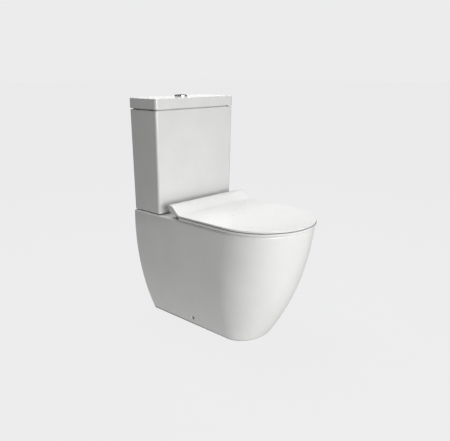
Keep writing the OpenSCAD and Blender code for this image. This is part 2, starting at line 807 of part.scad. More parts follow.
FILL_HEAD_D = 46;
FILL_HEAD_H = 34;
PIVOT_Z = RISER_TOP + FILL_HEAD_H + 13;
PIVOT_Y = VALVE_Y + 4;
LEVER = 34;
LINK_Y = PIVOT_Y - LEVER;
LEVER_W = 12;
FILL_PIN_D = 4;
module fill_valve_head() {
    ear = 3;
    color(WHITE) {
        at_fill() translate([0, 0, RISER_TOP]) {
            cylinder(d = FILL_HEAD_D, h = FILL_HEAD_H - 6);
            translate([0, 0, FILL_HEAD_H - 6])
                cylinder(d = FILL_HEAD_D - 8, h = 6);
        }
        difference() {
            for (s = [-1, 1])
                translate([fill_offset + s * (LEVER_W / 2 + 0.5 + ear / 2) - ear / 2,
                           PIVOT_Y - 6, RISER_TOP + FILL_HEAD_H])
                    cube([ear, 12, PIVOT_Z + 6 - RISER_TOP - FILL_HEAD_H]);
            across(FILL_PIN_D + 2 * fit, fill_offset - 20, fill_offset + 20,
                   PIVOT_Y, PIVOT_Z);
        }
    }
}

module fill_valve_pin() {
    half = LEVER_W / 2 + 4.5;
    color(STEEL)
        across(FILL_PIN_D, fill_offset - half, fill_offset + half, PIVOT_Y, PIVOT_Z);
}

LEVER_T = 4;
module float_lever() {
    color(BLUE) difference() {
        union() {
            across(9, fill_offset - LEVER_W / 2, fill_offset + LEVER_W / 2,
                   PIVOT_Y, PIVOT_Z);
            translate([fill_offset - LEVER_W / 2, LINK_Y - 5, PIVOT_Z - LEVER_T / 2])
                cube([LEVER_W, LEVER + 5, LEVER_T]);
        }
        across(FILL_PIN_D + 2 * fit, fill_offset - LEVER_W, fill_offset + LEVER_W,
               PIVOT_Y, PIVOT_Z);
        // open fork around the link
        translate([fill_offset - LINK_D / 2 - 0.8, LINK_Y - 6, PIVOT_Z - 5])
            cube([LINK_D + 1.6, 11, 10]);
    }
}

// The cup slides on the riser; its link pulls the lever down with it
CUP_H = 60;
CUP_TOP = RISER_TOP - 14;
LINK_D = 3;
module float_cup() {
    color(GREY_PLASTIC) at_fill() translate([0, 0, CUP_TOP - CUP_H])
    difference() {
        union() {
            cylinder(d = float_d - 3, h = 4);
            translate([0, 0, 4]) cylinder(d = float_d, h = CUP_H - 4);
        }
        translate([0, 0, -EPS])
            cylinder(d = RISER_D + 1.2, h = CUP_H + 2 * EPS);
    }
}

LINK_CAP_Z = PIVOT_Z + LEVER_T / 2 + 1.6;
module float_link() {
    color(WHITE) translate([fill_offset, LINK_Y, CUP_TOP])
        cylinder(d = LINK_D, h = LINK_CAP_Z - CUP_TOP);
}
module float_adjuster() {
    color(BLUE) translate([fill_offset, LINK_Y, LINK_CAP_Z]) {
        cylinder(d = 8, h = 4, $fn = 8);
    }
}

// ---- seat hinges ----------------------------------------------------------

BARREL_D = 16;
POST_IN = 15;
POST_OUT = 22;
SEAT_LUG = [24, 42];
LID_LUG = [43, 61];

module both_hinges() {
    for (s = [0, 1]) mirror([s, 0, 0])
        translate([hinge_spacing / 2, HINGE_Y, 0]) children();
}

module hinge_posts() {
    color(CHROME) both_hinges() difference() {
        union() {
            translate([0, 0, RIM]) cylinder(d = 40, h = 4);
            translate([-POST_IN, -8, RIM + 2])
                cube([POST_IN + 9, 16, hinge_height - 2]);
            across(BARREL_D, -POST_IN, POST_OUT, 0, HINGE_Z);
        }
        across(hinge_pin_d + 2 * fit, -POST_IN - EPS, POST_OUT + EPS, 0, HINGE_Z);
    }
}

module hinge_pins() {
    color(STEEL) both_hinges()
        across(hinge_pin_d, -POST_IN + 1, LID_LUG[1] - 1, 0, HINGE_Z);
}

module hinge_studs() {
    color(STEEL) both_hinges() translate([0, 0, UNDER_DECK - 22])
        cylinder(d = bolt_d, h = deck + 22);
}

module hinge_seals() {
    color(RUBBER) both_hinges() translate([0, 0, UNDER_DECK])
        mirror([0, 0, 1]) cone_seal(4);
}

module hinge_nuts() {
    color(WHITE) both_hinges() translate([0, 0, UNDER_DECK - 4 - 12]) {
        difference() {
            cylinder(d = 22, h = 12, $fn = 6);
            translate([0, 0, -EPS]) cylinder(d = bolt_d + 2 * fit, h = 13);
        }
    }
}

// ---- seat -----------------------------------------------------------------

SEAT_Z0 = RIM + seat_gap;
SEAT_Z1 = SEAT_Z0 + seat_thick;
SEAT_NOSE_Y = TIP + seat_width / 2;
SEAT_BACK = HINGE_Y - 32;
BRIDGE_HALF = seat_width / 2 - 18;

// Seat outline: a half circle in front, straight sides, a narrower back
module seat_outline() {
    translate([0, SEAT_NOSE_Y]) circle(d = seat_width, $fn = 96);
    translate([-seat_width / 2, SEAT_NOSE_Y])
        square([seat_width, SEAT_BACK - SEAT_NOSE_Y]);
    translate([-BRIDGE_HALF, SEAT_BACK - 1])
        square([2 * BRIDGE_HALF, HINGE_Y + 6 - SEAT_BACK]);
}

HOLE_FRONT = TIP + seat_front_band + seat_hole_width / 2;
module seat_hole() {
    r = seat_hole_width / 2;
    back = HOLE_FRONT + seat_hole_length - 2 * r;
    translate([0, HOLE_FRONT]) circle(r = r, $fn = 96);
    translate([0, back]) circle(r = r, $fn = 96);
    translate([-r, HOLE_FRONT]) square([2 * r, max(back - HOLE_FRONT, 0.01)]);
}

BUFFER_D = 18;
BUFFER_IN = 2.5;
SEAT_BUFFERS = [[seat_width / 2 - 26, SEAT_NOSE_Y + 30],
                [seat_width / 2 - 26, SEAT_BACK - 50]];
module at_pairs(places) {
    for (s = [-1, 1], p = places) translate([s * p[0], p[1], 0]) children();
}

// A lug from the plate up to the barrel on the hinge axis
module lug(span, low, thick, reach) {
    for (s = [0, 1]) mirror([s, 0, 0])
        translate([hinge_spacing / 2 + span[0], 0, 0]) {
            across(BARREL_D, 0, span[1] - span[0], HINGE_Y, HINGE_Z);
            translate([0, HINGE_Y - reach, low])
                cube([span[1] - span[0], reach + 5, thick]);
            translate([0, HINGE_Y - 8, low])
                cube([span[1] - span[0], 13, HINGE_Z - low]);
        }
}
module hinge_bores() {
    half = hinge_spacing / 2 + LID_LUG[1] + 2;
    across(hinge_pin_d + 2 * fit, -half, half, HINGE_Y, HINGE_Z);
}

module seat() {
    color(WHITE) difference() {
        union() {
            translate([0, 0, SEAT_Z0]) linear_extrude(seat_thick) difference() {
                seat_outline();
                seat_hole();
                // room for the hinge posts
                both_hinges_2d() translate([-POST_IN - 8, -24])
                    square([POST_IN + POST_OUT + 9, 40]);
            }
            lug(SEAT_LUG, SEAT_Z0, seat_thick, 20);
        }
        hinge_bores();
        at_pairs(SEAT_BUFFERS) translate([0, 0, SEAT_Z0 - EPS])
            cylinder(d = BUFFER_D, h = BUFFER_IN + EPS);
    }
}
module both_hinges_2d() {
    for (s = [0, 1]) mirror([s, 0, 0])
        translate([hinge_spacing / 2, HINGE_Y]) children();
}

module seat_buffers() {
    color(GREY_PLASTIC) at_pairs(SEAT_BUFFERS) translate([0, 0, RIM])
        cylinder(d = BUFFER_D - 2 * fit, h = SEAT_Z0 + BUFFER_IN - RIM);
}

// ---- seat lid -------------------------------------------------------------

COVER_Z0 = SEAT_Z1 + cover_gap;
COVER_Z1 = COVER_Z0 + cover_thick;
COVER_HALF = seat_width / 2 - 0.5;
COVER_REAR = HINGE_Y + 15;
RAMP_FOOT = COVER_REAR - cover_shelf - cover_ramp;

// Height of the lid's top: flat, then an S-shaped ramp to the level shelf
function ease(t) = t * t * (3 - 2 * t);
function cover_top(y) =
    COVER_Z1 + cover_rise * ease(max(0, min(1, (y - RAMP_FOOT) / cover_ramp)));
RAMP_STEPS = 12;
RAMP = concat(
    [for (i = [0:RAMP_STEPS]) let (y = RAMP_FOOT + cover_ramp * i / RAMP_STEPS)
        [y, cover_top(y)]],
    [[COVER_REAR, cover_top(COVER_REAR)]]);

module extrude_x(x0, x1) {
    translate([x0, 0, 0]) rotate([90, 0, 90]) linear_extrude(x1 - x0) children();
}

module cover_profile() {
    polygon(concat(
        [[TIP - 1, COVER_Z0], [TIP - 1, COVER_Z1]], RAMP,
        [for (i = [RAMP_STEPS+1:-1:0]) [RAMP[i][0], RAMP[i][1] - cover_thick]]));
}

// The cheeks close the ends of the raised back and curl in under it
module cheek_profile() {
    polygon(concat(
        RAMP,
        [[COVER_REAR + 3, HINGE_Z + 9.5], [COVER_REAR - 1.3, HINGE_Z],
         [HINGE_Y, HINGE_Z - 10], [HINGE_Y - 10, HINGE_Z - 14.4],
         [HINGE_Y - 28, COVER_Z0], [RAMP_FOOT, COVER_Z0]]));
}

module cover_outline() {
    translate([0, TIP + COVER_HALF]) circle(r = COVER_HALF, $fn = 96);
    translate([-COVER_HALF, TIP + COVER_HALF])
        square([2 * COVER_HALF, COVER_REAR + 5 - TIP - COVER_HALF]);
}

// The lid's sheet between two depths
module cover_sheet(half, y0, y1) {
    intersection() {
        extrude_x(-half, half) cover_profile();
        translate([0, 0, COVER_Z0 - 5]) linear_extrude(60) intersection() {
            cover_outline();
            translate([-half, y0]) square([2 * half, y1 - y0]);
        }
    }
}

CHEEK = 7;
COVER_SPLIT = HINGE_Y - 6;
LID_BUFFERS = [[seat_width / 2 - 30, SEAT_NOSE_Y - 10],
               [seat_width / 2 - 30, SEAT_BACK - 20]];
LID_BUFFER_IN = 2;

// The flat front and the ramp, as far back as the hinge
module seat_lid() {
    color(WHITE) difference() {
        union() {
            cover_sheet(COVER_HALF, TIP - 1, RAMP_FOOT);
            cover_sheet(COVER_HALF - CHEEK, RAMP_FOOT - 1, COVER_SPLIT);
        }
        at_pairs(LID_BUFFERS) translate([0, 0, COVER_Z0 - EPS])
            cylinder(d = 12, h = LID_BUFFER_IN + EPS);
    }
}

// The level shelf over the hinges
module seat_lid_back() {
    color(WHITE) cover_sheet(COVER_HALF - CHEEK, COVER_SPLIT, COVER_REAR + 1);
}

module seat_lid_cheeks() {
    color(WHITE) {
        extrude_x(-COVER_HALF, -COVER_HALF + CHEEK) cheek_profile();
        extrude_x(COVER_HALF - CHEEK, COVER_HALF) cheek_profile();
    }
}

// Webs from the lid's sheet down to the barrels on the hinge axis
module seat_lid_lugs() {
    half = BARREL_D / 2;
    wide = LID_LUG[1] - LID_LUG[0];
    color(WHITE) difference() {
        for (s = [0, 1]) mirror([s, 0, 0])
            translate([hinge_spacing / 2 + LID_LUG[0], 0, 0]) {
                across(BARREL_D, 0, wide, HINGE_Y, HINGE_Z);
                extrude_x(0, wide) difference() {
                    polygon([
                        [HINGE_Y - half, HINGE_Z], [HINGE_Y + half, HINGE_Z],
                        [HINGE_Y + half, cover_top(HINGE_Y + half) - 2],
                        [HINGE_Y - half, cover_top(HINGE_Y - half) - 2]]);
                    cover_profile();
                }
            }
        hinge_bores();
    }
}

module lid_buffers() {
    color(GREY_PLASTIC) at_pairs(LID_BUFFERS) translate([0, 0, SEAT_Z1])
        cylinder(d = 12 - 2 * fit, h = cover_gap + LID_BUFFER_IN);
}

// ---- assembly -------------------------------------------------------------

pan();
pan_deck();
pan_channel();
pan_bowl();
pan_trap();
cistern();
lid_pads();
flush_valve_base();
flush_valve_washer();
flush_valve_backnut();
flush_valve_cage();
overflow_tube();
flush_valve_seal();
full_flush_plunger();
half_flush_plunger();
coupling_plate();
coupling_gasket();
coupling_bolts();
coupling_bolt_seals();
coupling_washers();
coupling_wing_nuts();
fill_valve_riser();
fill_valve_washer();
fill_valve_backnut();
fill_valve_head();
fill_valve_pin();
float_cup();
float_link();
float_lever();
float_adjuster();
hinge_posts();
hinge_pins();
hinge_studs();
hinge_seals();
hinge_nuts();
seat();
seat_buffers();
seat_lid();
seat_lid_back();
seat_lid_cheeks();
seat_lid_lugs();
lid_buffers();
cistern_lid();
button_ring();
ring_nut();
ring_seal();
full_flush_button();
full_flush_rod();
half_flush_button();
half_flush_rod();
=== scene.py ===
import json
from math import acos, atan2, cos, degrees, pi, radians, sin, sqrt

import bmesh
import bpy
from mathutils import Matrix, Vector


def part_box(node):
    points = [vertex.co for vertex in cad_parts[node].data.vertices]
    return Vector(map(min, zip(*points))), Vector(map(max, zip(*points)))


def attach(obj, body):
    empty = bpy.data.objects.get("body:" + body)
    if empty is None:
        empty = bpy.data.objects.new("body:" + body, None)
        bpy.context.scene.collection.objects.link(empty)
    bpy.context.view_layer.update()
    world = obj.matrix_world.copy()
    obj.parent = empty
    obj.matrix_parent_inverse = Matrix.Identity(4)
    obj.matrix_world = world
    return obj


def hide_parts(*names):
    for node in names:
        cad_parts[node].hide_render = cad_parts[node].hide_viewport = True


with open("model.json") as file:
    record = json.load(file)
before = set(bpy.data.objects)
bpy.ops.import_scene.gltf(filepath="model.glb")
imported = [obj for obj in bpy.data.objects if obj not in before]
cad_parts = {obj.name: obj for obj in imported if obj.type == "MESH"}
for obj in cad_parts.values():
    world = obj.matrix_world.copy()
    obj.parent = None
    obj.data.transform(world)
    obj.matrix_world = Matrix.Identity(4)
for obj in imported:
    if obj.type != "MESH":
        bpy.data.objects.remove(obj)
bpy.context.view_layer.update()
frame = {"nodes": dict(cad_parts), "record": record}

MM = 0.001

# ---- places taken from the frame -------------------------------------------

PAN_NODES = ["pan", "pan_deck", "pan_channel", "pan_bowl", "pan_trap"]
COVER_NODES = ["seat_lid", "seat_lid_back", "seat_lid_cheeks", "seat_lid_lugs"]


def box_round(nodes):
    """The low and high corners of the box round several nodes."""
    lows, highs = zip(*(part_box(node) for node in nodes))
    low = Vector([min(p[i] for p in lows) for i in range(3)])
    high = Vector([max(p[i] for p in highs) for i in range(3)])
    return low, high


PAN_LOW, PAN_HIGH = box_round(PAN_NODES)
TANK_LOW, TANK_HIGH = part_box("cistern")
LID_LOW, LID_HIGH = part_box("cistern_lid")
COVER_LOW, COVER_HIGH = box_round(COVER_NODES)
SEAT_LOW, SEAT_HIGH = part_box("seat")
PIN_LOW, PIN_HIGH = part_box("hinge_pins")
RING_LOW, RING_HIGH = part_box("button_ring")
SHANK_LOW, SHANK_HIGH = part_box("flush_valve_base")
FILL_LOW, FILL_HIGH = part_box("fill_valve_riser")
BOLT_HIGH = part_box("coupling_bolts")[1]
STUD_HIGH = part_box("hinge_studs")[1]
GASKET_LOW, GASKET_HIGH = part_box("coupling_gasket")

WALL = PAN_HIGH.y
TIP = COVER_LOW.y
RIM = PAN_HIGH.z
PAN_FRONT = PAN_LOW.y
PAN_HALF = PAN_HIGH.x
VALVE_Y = (SHANK_LOW.y + SHANK_HIGH.y) / 2
BOLT_HEAD_R = 10 * MM
STUD_R = 4 * MM
BOLT_X = BOLT_HIGH.x - BOLT_HEAD_R
HINGE_X = STUD_HIGH.x - STUD_R
HINGE_Y = (PIN_LOW.y + PIN_HIGH.y) / 2
HINGE_Z = (PIN_LOW.z + PIN_HIGH.z) / 2
FILL_X = (FILL_LOW.x + FILL_HIGH.x) / 2

# ---- outlines ---------------------------------------------------------------


def blend_of(a, b, share):
    return a + (b - a) * share


def arc(cx, cy, rx, ry, start, stop, steps):
    """Places round an ellipse from start to stop degrees, both ends included."""
    turns = [radians(blend_of(start, stop, i / steps)) for i in range(steps + 1)]
    return [(cx + rx * cos(t), cy + ry * sin(t)) for t in turns]


def line(a, b, steps):
    """Places from a up to, but not including, b."""
    return [
        (blend_of(a[0], b[0], i / steps), blend_of(a[1], b[1], i / steps))
        for i in range(steps)
    ]


def at_height(outline, z):
    return [Vector((x, y, z)) for x, y in outline]


def d_outline(half, back, front, nose):
    """Straight back and sides and an elliptical nose, anticlockwise from above."""
    turn = front + nose
    return (
        line((half, back), (-half, back), 16)
        + line((-half, back), (-half, turn), 24)
        + arc(0, turn, half, nose, 180, 360, 72)[:-1]
        + line((half, turn), (half, back), 24)
    )


def round_box(x0, x1, y0, y1, r):
    """A rectangle with rounded corners, anticlockwise from above."""
    steps = 8
    return (
        arc(x1 - r, y0 + r, r, r, -90, 0, steps)
        + arc(x1 - r, y1 - r, r, r, 0, 90, steps)
        + arc(x0 + r, y1 - r, r, r, 90, 180, steps)
        + arc(x0 + r, y0 + r, r, r, 180, 270, steps)
    )


def rounded(corners):
    """A closed outline through (x, y, radius) corners, each turned by an arc."""
    steps = 6
    outline = []
    count = len(corners)
    for i, (x, y, r) in enumerate(corners):
        here = Vector((x, y))
        before = Vector(corners[i - 1][:2]) - here
        after = Vector(corners[(i + 1) % count][:2]) - here
        if r == 0:
            outline.append((x, y))
            continue
        a, b = before.normalized(), after.normalized()
        half_angle = a.angle(b) / 2
        reach = r / max(sin(half_angle) / cos(half_angle), 1e-6)
        centre = here + (a + b).normalized() * (r / sin(half_angle))
        first = here + a * reach - centre
        last = here + b * reach - centre
        start, sweep = atan2(first.y, first.x), first.angle_signed(last)
        for k in range(steps + 1):
            t = start - sweep * k / steps
            outline.append((centre.x + r * cos(t), centre.y + r * sin(t)))
    return outline


# ---- mesh work --------------------------------------------------------------


def edges_of(bm, loop):
    return [bm.edges.get((loop[i - 1], loop[i])) for i in range(len(loop))]


def first_loop(bm, places):
    made = bmesh.ops.create_circle(bm, segments=len(places), radius=1.0)["verts"]
    for vert, place in zip(made, places):
        vert.co = place
    return list(made)


def pull(bm, loop, places):
    """Extrudes a closed loop and sets its copy down at the new places."""
    made = bmesh.ops.extrude_edge_only(bm, edges=edges_of(bm, loop))["geom"]
    fresh = {g for g in made if isinstance(g, bmesh.types.BMVert)}
    copy = []
    for vert, place in zip(loop, places):
        twin = next(
            e.other_vert(vert) for e in vert.link_edges if e.other_vert(vert) in fresh
        )
        twin.co = place
        copy.append(twin)
    return copy


def skin(rings, closed=False):
    """A surface pulled through rings of places, closed on itself or capped."""
    bm = bmesh.new()
    first = loop = first_loop(bm, rings[0])
    for places in rings[1:]:
        loop = pull(bm, loop, places)
    if closed:
        pull_back = pull(bm, loop, [v.co.copy() for v in first])
        bmesh.ops.remove_doubles(bm, verts=pull_back + first, dist=1e-7)
    else:
        for end in (first, loop):
            bmesh.ops.contextual_create(bm, geom=edges_of(bm, end))
    bmesh.ops.recalc_face_normals(bm, faces=bm.faces)
    return bm


def spun(profile, centre, steps=96):
    """A closed solid of revolution about the vertical through centre."""
    bm = bmesh.new()
    verts = [bm.verts.new((centre[0] + r, centre[1], z)) for r, z in profile]
    closed = profile[0][0] > 0 and profile[-1][0] > 0
    pairs = list(zip(verts, verts[1:])) + ([(verts[-1], verts[0])] if closed else [])
    edges = [bm.edges.new(pair) for pair in pairs]
    bmesh.ops.spin(
        bm,
        geom=verts + edges,
        axis=(0, 0, 1),
        cent=(centre[0], centre[1], 0),
        angle=2 * pi,
        steps=steps,
        use_merge=True,
        use_duplicate=False,
    )
    bmesh.ops.remove_doubles(bm, verts=bm.verts, dist=1e-7)
    bmesh.ops.recalc_face_normals(bm, faces=bm.faces)
    return bm


def block(low, high, round_by=0.0):
    """A box between two corners."""
    bm = bmesh.new()
    bmesh.ops.create_cube(bm, size=1.0)
    low, high = Vector(low), Vector(high)
    bmesh.ops.scale(bm, vec=high - low, verts=bm.verts)
    bmesh.ops.translate(bm, vec=(low + high) / 2, verts=bm.verts)
    if round_by:
        soften(bm, bm.edges[:], round_by)
    return bm


def rod(a, b, radius, round_by=0.0, segments=48):
    """A round bar from a to b."""
    bm = bmesh.new()
    a, b = Vector(a), Vector(b)
    bmesh.ops.create_cone(
        bm,
        cap_ends=True,
        segments=segments,
        radius1=radius,
        radius2=radius,
        depth=(b - a).length,
    )
    if round_by:
        rims = [e for e in bm.edges if abs(e.verts[0].co.z - e.verts[1].co.z) < 1e-9]
        soften(bm, rims, round_by, 3)
    turn = (b - a).to_track_quat("Z", "Y").to_matrix().to_4x4()
    bmesh.ops.transform(
        bm, matrix=Matrix.Translation((a + b) / 2) @ turn, verts=bm.verts
    )
    return bm


def plate(outline, z0, z1, hole=None):
    """A flat plate with an outline and, if given, one hole."""
    bm = bmesh.new()
    loops = [first_loop(bm, at_height(outline, z0))]
    if hole:
        loops.append(first_loop(bm, at_height(hole, z0)))
    edges = [e for loop in loops for e in edges_of(bm, loop)]
    bmesh.ops.triangle_fill(bm, use_beauty=True, edges=edges, normal=(0, 0, 1))
    made = bmesh.ops.extrude_face_region(bm, geom=bm.faces[:])["geom"]
    top = [g for g in made if isinstance(g, bmesh.types.BMVert)]
    bmesh.ops.translate(bm, vec=(0, 0, z1 - z0), verts=top)
    bmesh.ops.recalc_face_normals(bm, faces=bm.faces)
    return bm


def soften(bm, edges, width, segments=3):
    bmesh.ops.bevel(
        bm,
        geom=edges,
        offset=width,
        offset_type="OFFSET",
        affect="EDGES",
        segments=segments,
        profile=0.5,
        clamp_overlap=True,
        material=-1,
    )


def sharp_edges(bm, angle=40):
    limit = radians(angle)
    return [
        e for e in bm.edges if len(e.link_faces) == 2 and e.calc_face_angle() > limit
    ]


def join(target, *others):
    """Adds other meshes' geometry to target."""
    for other in others:
        mesh = bpy.data.meshes.new("part")
        other.to_mesh(mesh)
        other.free()
        target.from_mesh(mesh)
        bpy.data.meshes.remove(mesh)
    return target


def loose_object(bm, name="cutter"):
    mesh = bpy.data.meshes.new(name)
    bm.to_mesh(mesh)
    bm.free()
    made = bpy.data.objects.new(name, mesh)
    bpy.context.scene.collection.objects.link(made)
    return made


def carve(piece, tool, operation="DIFFERENCE"):
    """Cuts a tool's mesh out of a piece, or adds it, for good."""
    cutter = loose_object(tool)
    change = piece.modifiers.new("carve", "BOOLEAN")
    change.object = cutter
    change.operation = operation
    change.solver = "EXACT"
    graph = bpy.context.evaluated_depsgraph_get()
    mesh = bpy.data.meshes.new_from_object(piece.evaluated_get(graph))
    piece.modifiers.remove(change)
    old = piece.data
    piece.data = mesh
    bpy.data.meshes.remove(old)
    old = cutter.data
    bpy.data.objects.remove(cutter)
    bpy.data.meshes.remove(old)


def finish_piece(piece, material, body, nodes):
    """Smooth shading with crisp corners, material, body and CAD nodes."""
    mesh = piece.data
    bm = bmesh.new()
    bm.from_mesh(mesh)
    limit = radians(38)
    for face in bm.faces:
        face.smooth = True
        face.material_index = 0
    for edge in bm.edges:
        two = len(edge.link_faces) == 2
        edge.smooth = two and edge.calc_face_angle() < limit
    bm.to_mesh(mesh)
    bm.free()
    mesh.materials.clear()
    mesh.materials.append(material)
    even = piece.modifiers.new("even_normals", "WEIGHTED_NORMAL")
    even.keep_sharp = True
    even.weight = 60
    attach(piece, body)
    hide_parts(*nodes)
    return piece


def piece_from(name, bm, material, body, nodes):
    return finish_piece(loose_object(bm, name), material, body, nodes)


# ---- materials --------------------------------------------------------------


class Finish:
    """A procedural finish on Object coordinates, built up node by node."""

    def __init__(self, name, colour, roughness, metallic=0.0):
        self.material = bpy.data.materials.new(name)
        self.material.use_nodes = True
        self.tree = self.material.node_tree
        self.nodes = self.tree.nodes
        self.shader = self.nodes["Principled BSDF"]
        self.shader.inputs["Metallic"].default_value = metallic
        self.place = self.nodes.new("ShaderNodeTexCoord").outputs["Object"]
        self.colour = colour
        self.roughness = roughness
        self.normal = None

    def link(self, a, b):
        self.tree.links.new(a, b)

    def noise(self, size, detail=2.0, stretch=(1, 1, 1)):
        """Noise with features about size metres across."""
        mapping = self.nodes.new("ShaderNodeMapping")
        mapping.inputs["Scale"].default_value = stretch
        self.link(self.place, mapping.inputs["Vector"])
        made = self.nodes.new("ShaderNodeTexNoise")
        made.inputs["Scale"].default_value = 1 / size
        made.inputs["Detail"].default_value = detail
        self.link(mapping.outputs["Vector"], made.inputs["Vector"])
        return made.outputs["Fac"]

    def ranged(self, value, low, high, start=0.3, stop=0.7):
        made = self.nodes.new("ShaderNodeMapRange")
        made.inputs["From Min"].default_value = start
        made.inputs["From Max"].default_value = stop
        made.inputs["To Min"].default_value = low
        made.inputs["To Max"].default_value = high
        self.link(value, made.inputs["Value"])
        return made.outputs["Result"]

    def tint(self, value, other):
        """Colour drifts between the finish's own and another one."""
        mix = self.nodes.new("ShaderNodeMix")
        mix.data_type = "RGBA"
        mix.inputs["A"].default_value = (*self.colour, 1)
        mix.inputs["B"].default_value = (*other, 1)
        self.link(self.ranged(value, 0, 1), mix.inputs["Factor"])
        self.link(mix.outputs["Result"], self.shader.inputs["Base Color"])

    def gloss(self, value, spread):
        rough = self.ranged(value, self.roughness - spread, self.roughness + spread)
        self.link(rough, self.shader.inputs["Roughness"])

    def bump(self, value, depth, strength=1.0):
        made = self.nodes.new("ShaderNodeBump")
        made.inputs["Strength"].default_value = strength
        made.inputs["Distance"].default_value = depth
        self.link(value, made.inputs["Height"])
        if self.normal:
            self.link(self.normal, made.inputs["Normal"])
        self.normal = made.outputs["Normal"]
        self.link(self.normal, self.shader.inputs["Normal"])


def glaze(name):
    """White vitreous china: faint waves under a clear glassy skin."""
    f = Finish(name, (0.84, 0.84, 0.83), 0.24)
    f.tint(f.noise(0.09, 3), (0.80, 0.80, 0.785))
    f.gloss(f.noise(0.03, 4), 0.03)
    f.bump(f.noise(0.035, 2), 0.0006, 0.25)
    f.bump(f.noise(0.0022, 2), 0.00002, 0.25)
    f.shader.inputs["Coat Weight"].default_value = 0.35
    f.shader.inputs["Coat Roughness"].default_value = 0.12
    f.shader.inputs["IOR"].default_value = 1.5
    return f.material


def seat_plastic():
    """White moulded seat: a satin skin with the mould's very fine grain."""
    f = Finish("seat_plastic", (0.86, 0.86, 0.855), 0.30)
    f.tint(f.noise(0.12, 2), (0.83, 0.83, 0.82))
    f.gloss(f.noise(0.012, 4), 0.03)
    f.bump(f.noise(0.0007, 2), 0.00001, 0.3)
    f.shader.inputs["IOR"].default_value = 1.49
    return f.material


def chrome():
    f = Finish("bright_chrome", (0.80, 0.81, 0.82), 0.09, 1.0)
    f.tint(f.noise(0.02, 3), (0.74, 0.75, 0.765))
    f.gloss(f.noise(0.0016, 5, (1, 6, 1)), 0.035)
    return f.material


def zinc():
    """Zinc-plated steel: drawn streaks and dull spangles."""
    f = Finish("zinc_plate", (0.60, 0.61, 0.62), 0.36, 1.0)
    f.tint(f.noise(0.004, 4), (0.48, 0.49, 0.51))
    f.gloss(f.noise(0.0012, 3, (1, 1, 8)), 0.10)
    f.bump(f.noise(0.0008, 3, (1, 1, 6)), 0.00003, 0.4)
    return f.material


def moulded(name, colour, darker, roughness=0.45):
    """Plain moulded plastic, as used for valves and nuts."""
    f = Finish(name, colour, roughness)
    f.tint(f.noise(0.025, 3), darker)
    f.gloss(f.noise(0.003, 4), 0.05)
    f.bump(f.noise(0.0006, 3), 0.00003, 0.35)
    return f.material


def rubber(name, colour, lighter, grain=0.0009):
    f = Finish(name, colour, 0.72)
    f.tint(f.noise(0.006, 4), lighter)
    f.gloss(f.noise(0.004, 3), 0.08)
    f.bump(f.noise(grain, 3), 0.00008, 0.6)
    return f.material


PAN_GLAZE = glaze("pan_glaze")
CISTERN_GLAZE = glaze("cistern_glaze")
SEAT_PLASTIC = seat_plastic()
CHROME = chrome()
ZINC = zinc()
WHITE_PLASTIC = moulded("valve_white", (0.80, 0.80, 0.79), (0.74, 0.74, 0.73))
GREY_PLASTIC = moulded("valve_grey", (0.52, 0.53, 0.54), (0.46, 0.47, 0.48))
BLUE_PLASTIC = moulded("valve_blue", (0.03, 0.12, 0.30), (0.02, 0.09, 0.24), 0.4)
BLACK_RUBBER = rubber("black_rubber", (0.012, 0.012, 0.013), (0.03, 0.03, 0.03))
SPONGE = rubber("grey_sponge", (0.03, 0.03, 0.032), (0.06, 0.06, 0.065), 0.0022)
SOFT_BUFFER = rubber("soft_buffer", (0.62, 0.63, 0.62), (0.7, 0.71, 0.7))

# ---- pan --------------------------------------------------------------------

FOOT_HALF = 101 * MM
FOOT_SETBACK = 161 * MM
FOOT_NOSE = 77.5 * MM
SIDE_Z = RIM - 35.5 * MM
CHINA = 12 * MM
DECK = 16 * MM
RIM_ROUND = 6 * MM
SIDE_IN = PAN_HALF - FOOT_HALF
SIDE_R = (SIDE_Z**2 + SIDE_IN**2) / (2 * SIDE_IN)
LEAN_TOP = 1.536 * RIM
LEAN_POWER = 2.7


def pan_half(z):
    drop = max(SIDE_Z - z, 0)
    return PAN_HALF - (SIDE_R - sqrt(SIDE_R**2 - drop**2))


def lean(z):
    return ((LEAN_TOP - z) / LEAN_TOP) ** LEAN_POWER


def pan_front(z):
    return PAN_FRONT + FOOT_SETBACK * (lean(z) - lean(RIM)) / (1 - lean(RIM))


def pan_nose(z):
    share = (PAN_HALF - pan_half(z)) / SIDE_IN
    return PAN_HALF + (FOOT_NOSE - PAN_HALF) * share**1.2


def pan_ring(z, inset=0.0, back=WALL, shape_z=None):
    s = z if shape_z is None else shape_z
    half, front, nose = pan_half(s), pan_front(s), pan_nose(s)
    outline = d_outline(half - inset, back, front + inset, nose - inset)
    return at_height(outline, z)


BOWL_BACK = WALL - 244 * MM
BOWL_FRONT = PAN_FRONT + 41 * MM
BOWL_HALF = PAN_HALF - 41 * MM
BOWL_MID = BOWL_BACK - (BOWL_BACK - BOWL_FRONT) * 0.385
OUTLET_Z = 185 * MM
SUMP_Z = OUTLET_Z - 34.5 * MM
SUMP_R = 44 * MM
SUMP_Y = BOWL_BACK - 70 * MM
BOWL_DEPTH = RIM - SUMP_Z
BOWL_WALL = 10 * MM
LIP = 7 * MM

# each place round the bowl keeps the direction of its partner on the rim
BOWL_TURNS = [
    atan2(p.y - BOWL_MID, p.x) for p in pan_ring(RIM, RIM_ROUND, shape_z=RIM)
]


def bowl_ring(t, grow=0.0, z=None):
    k = (1 - t**2.6) ** 0.62
    mid = blend_of(SUMP_Y, BOWL_MID, k)
    half = blend_of(SUMP_R, BOWL_HALF, k) + grow
    front = blend_of(SUMP_R, BOWL_MID - BOWL_FRONT, k) + grow
    back = blend_of(SUMP_R, BOWL_BACK - BOWL_MID, k) + grow
    if z is None:
        z = RIM - (BOWL_DEPTH + max(grow, 0)) * t
    places = []
    for a in BOWL_TURNS:
        reach = back if sin(a) > 0 else front
        places.append(Vector((half * cos(a), mid + reach * sin(a), z)))
    return places


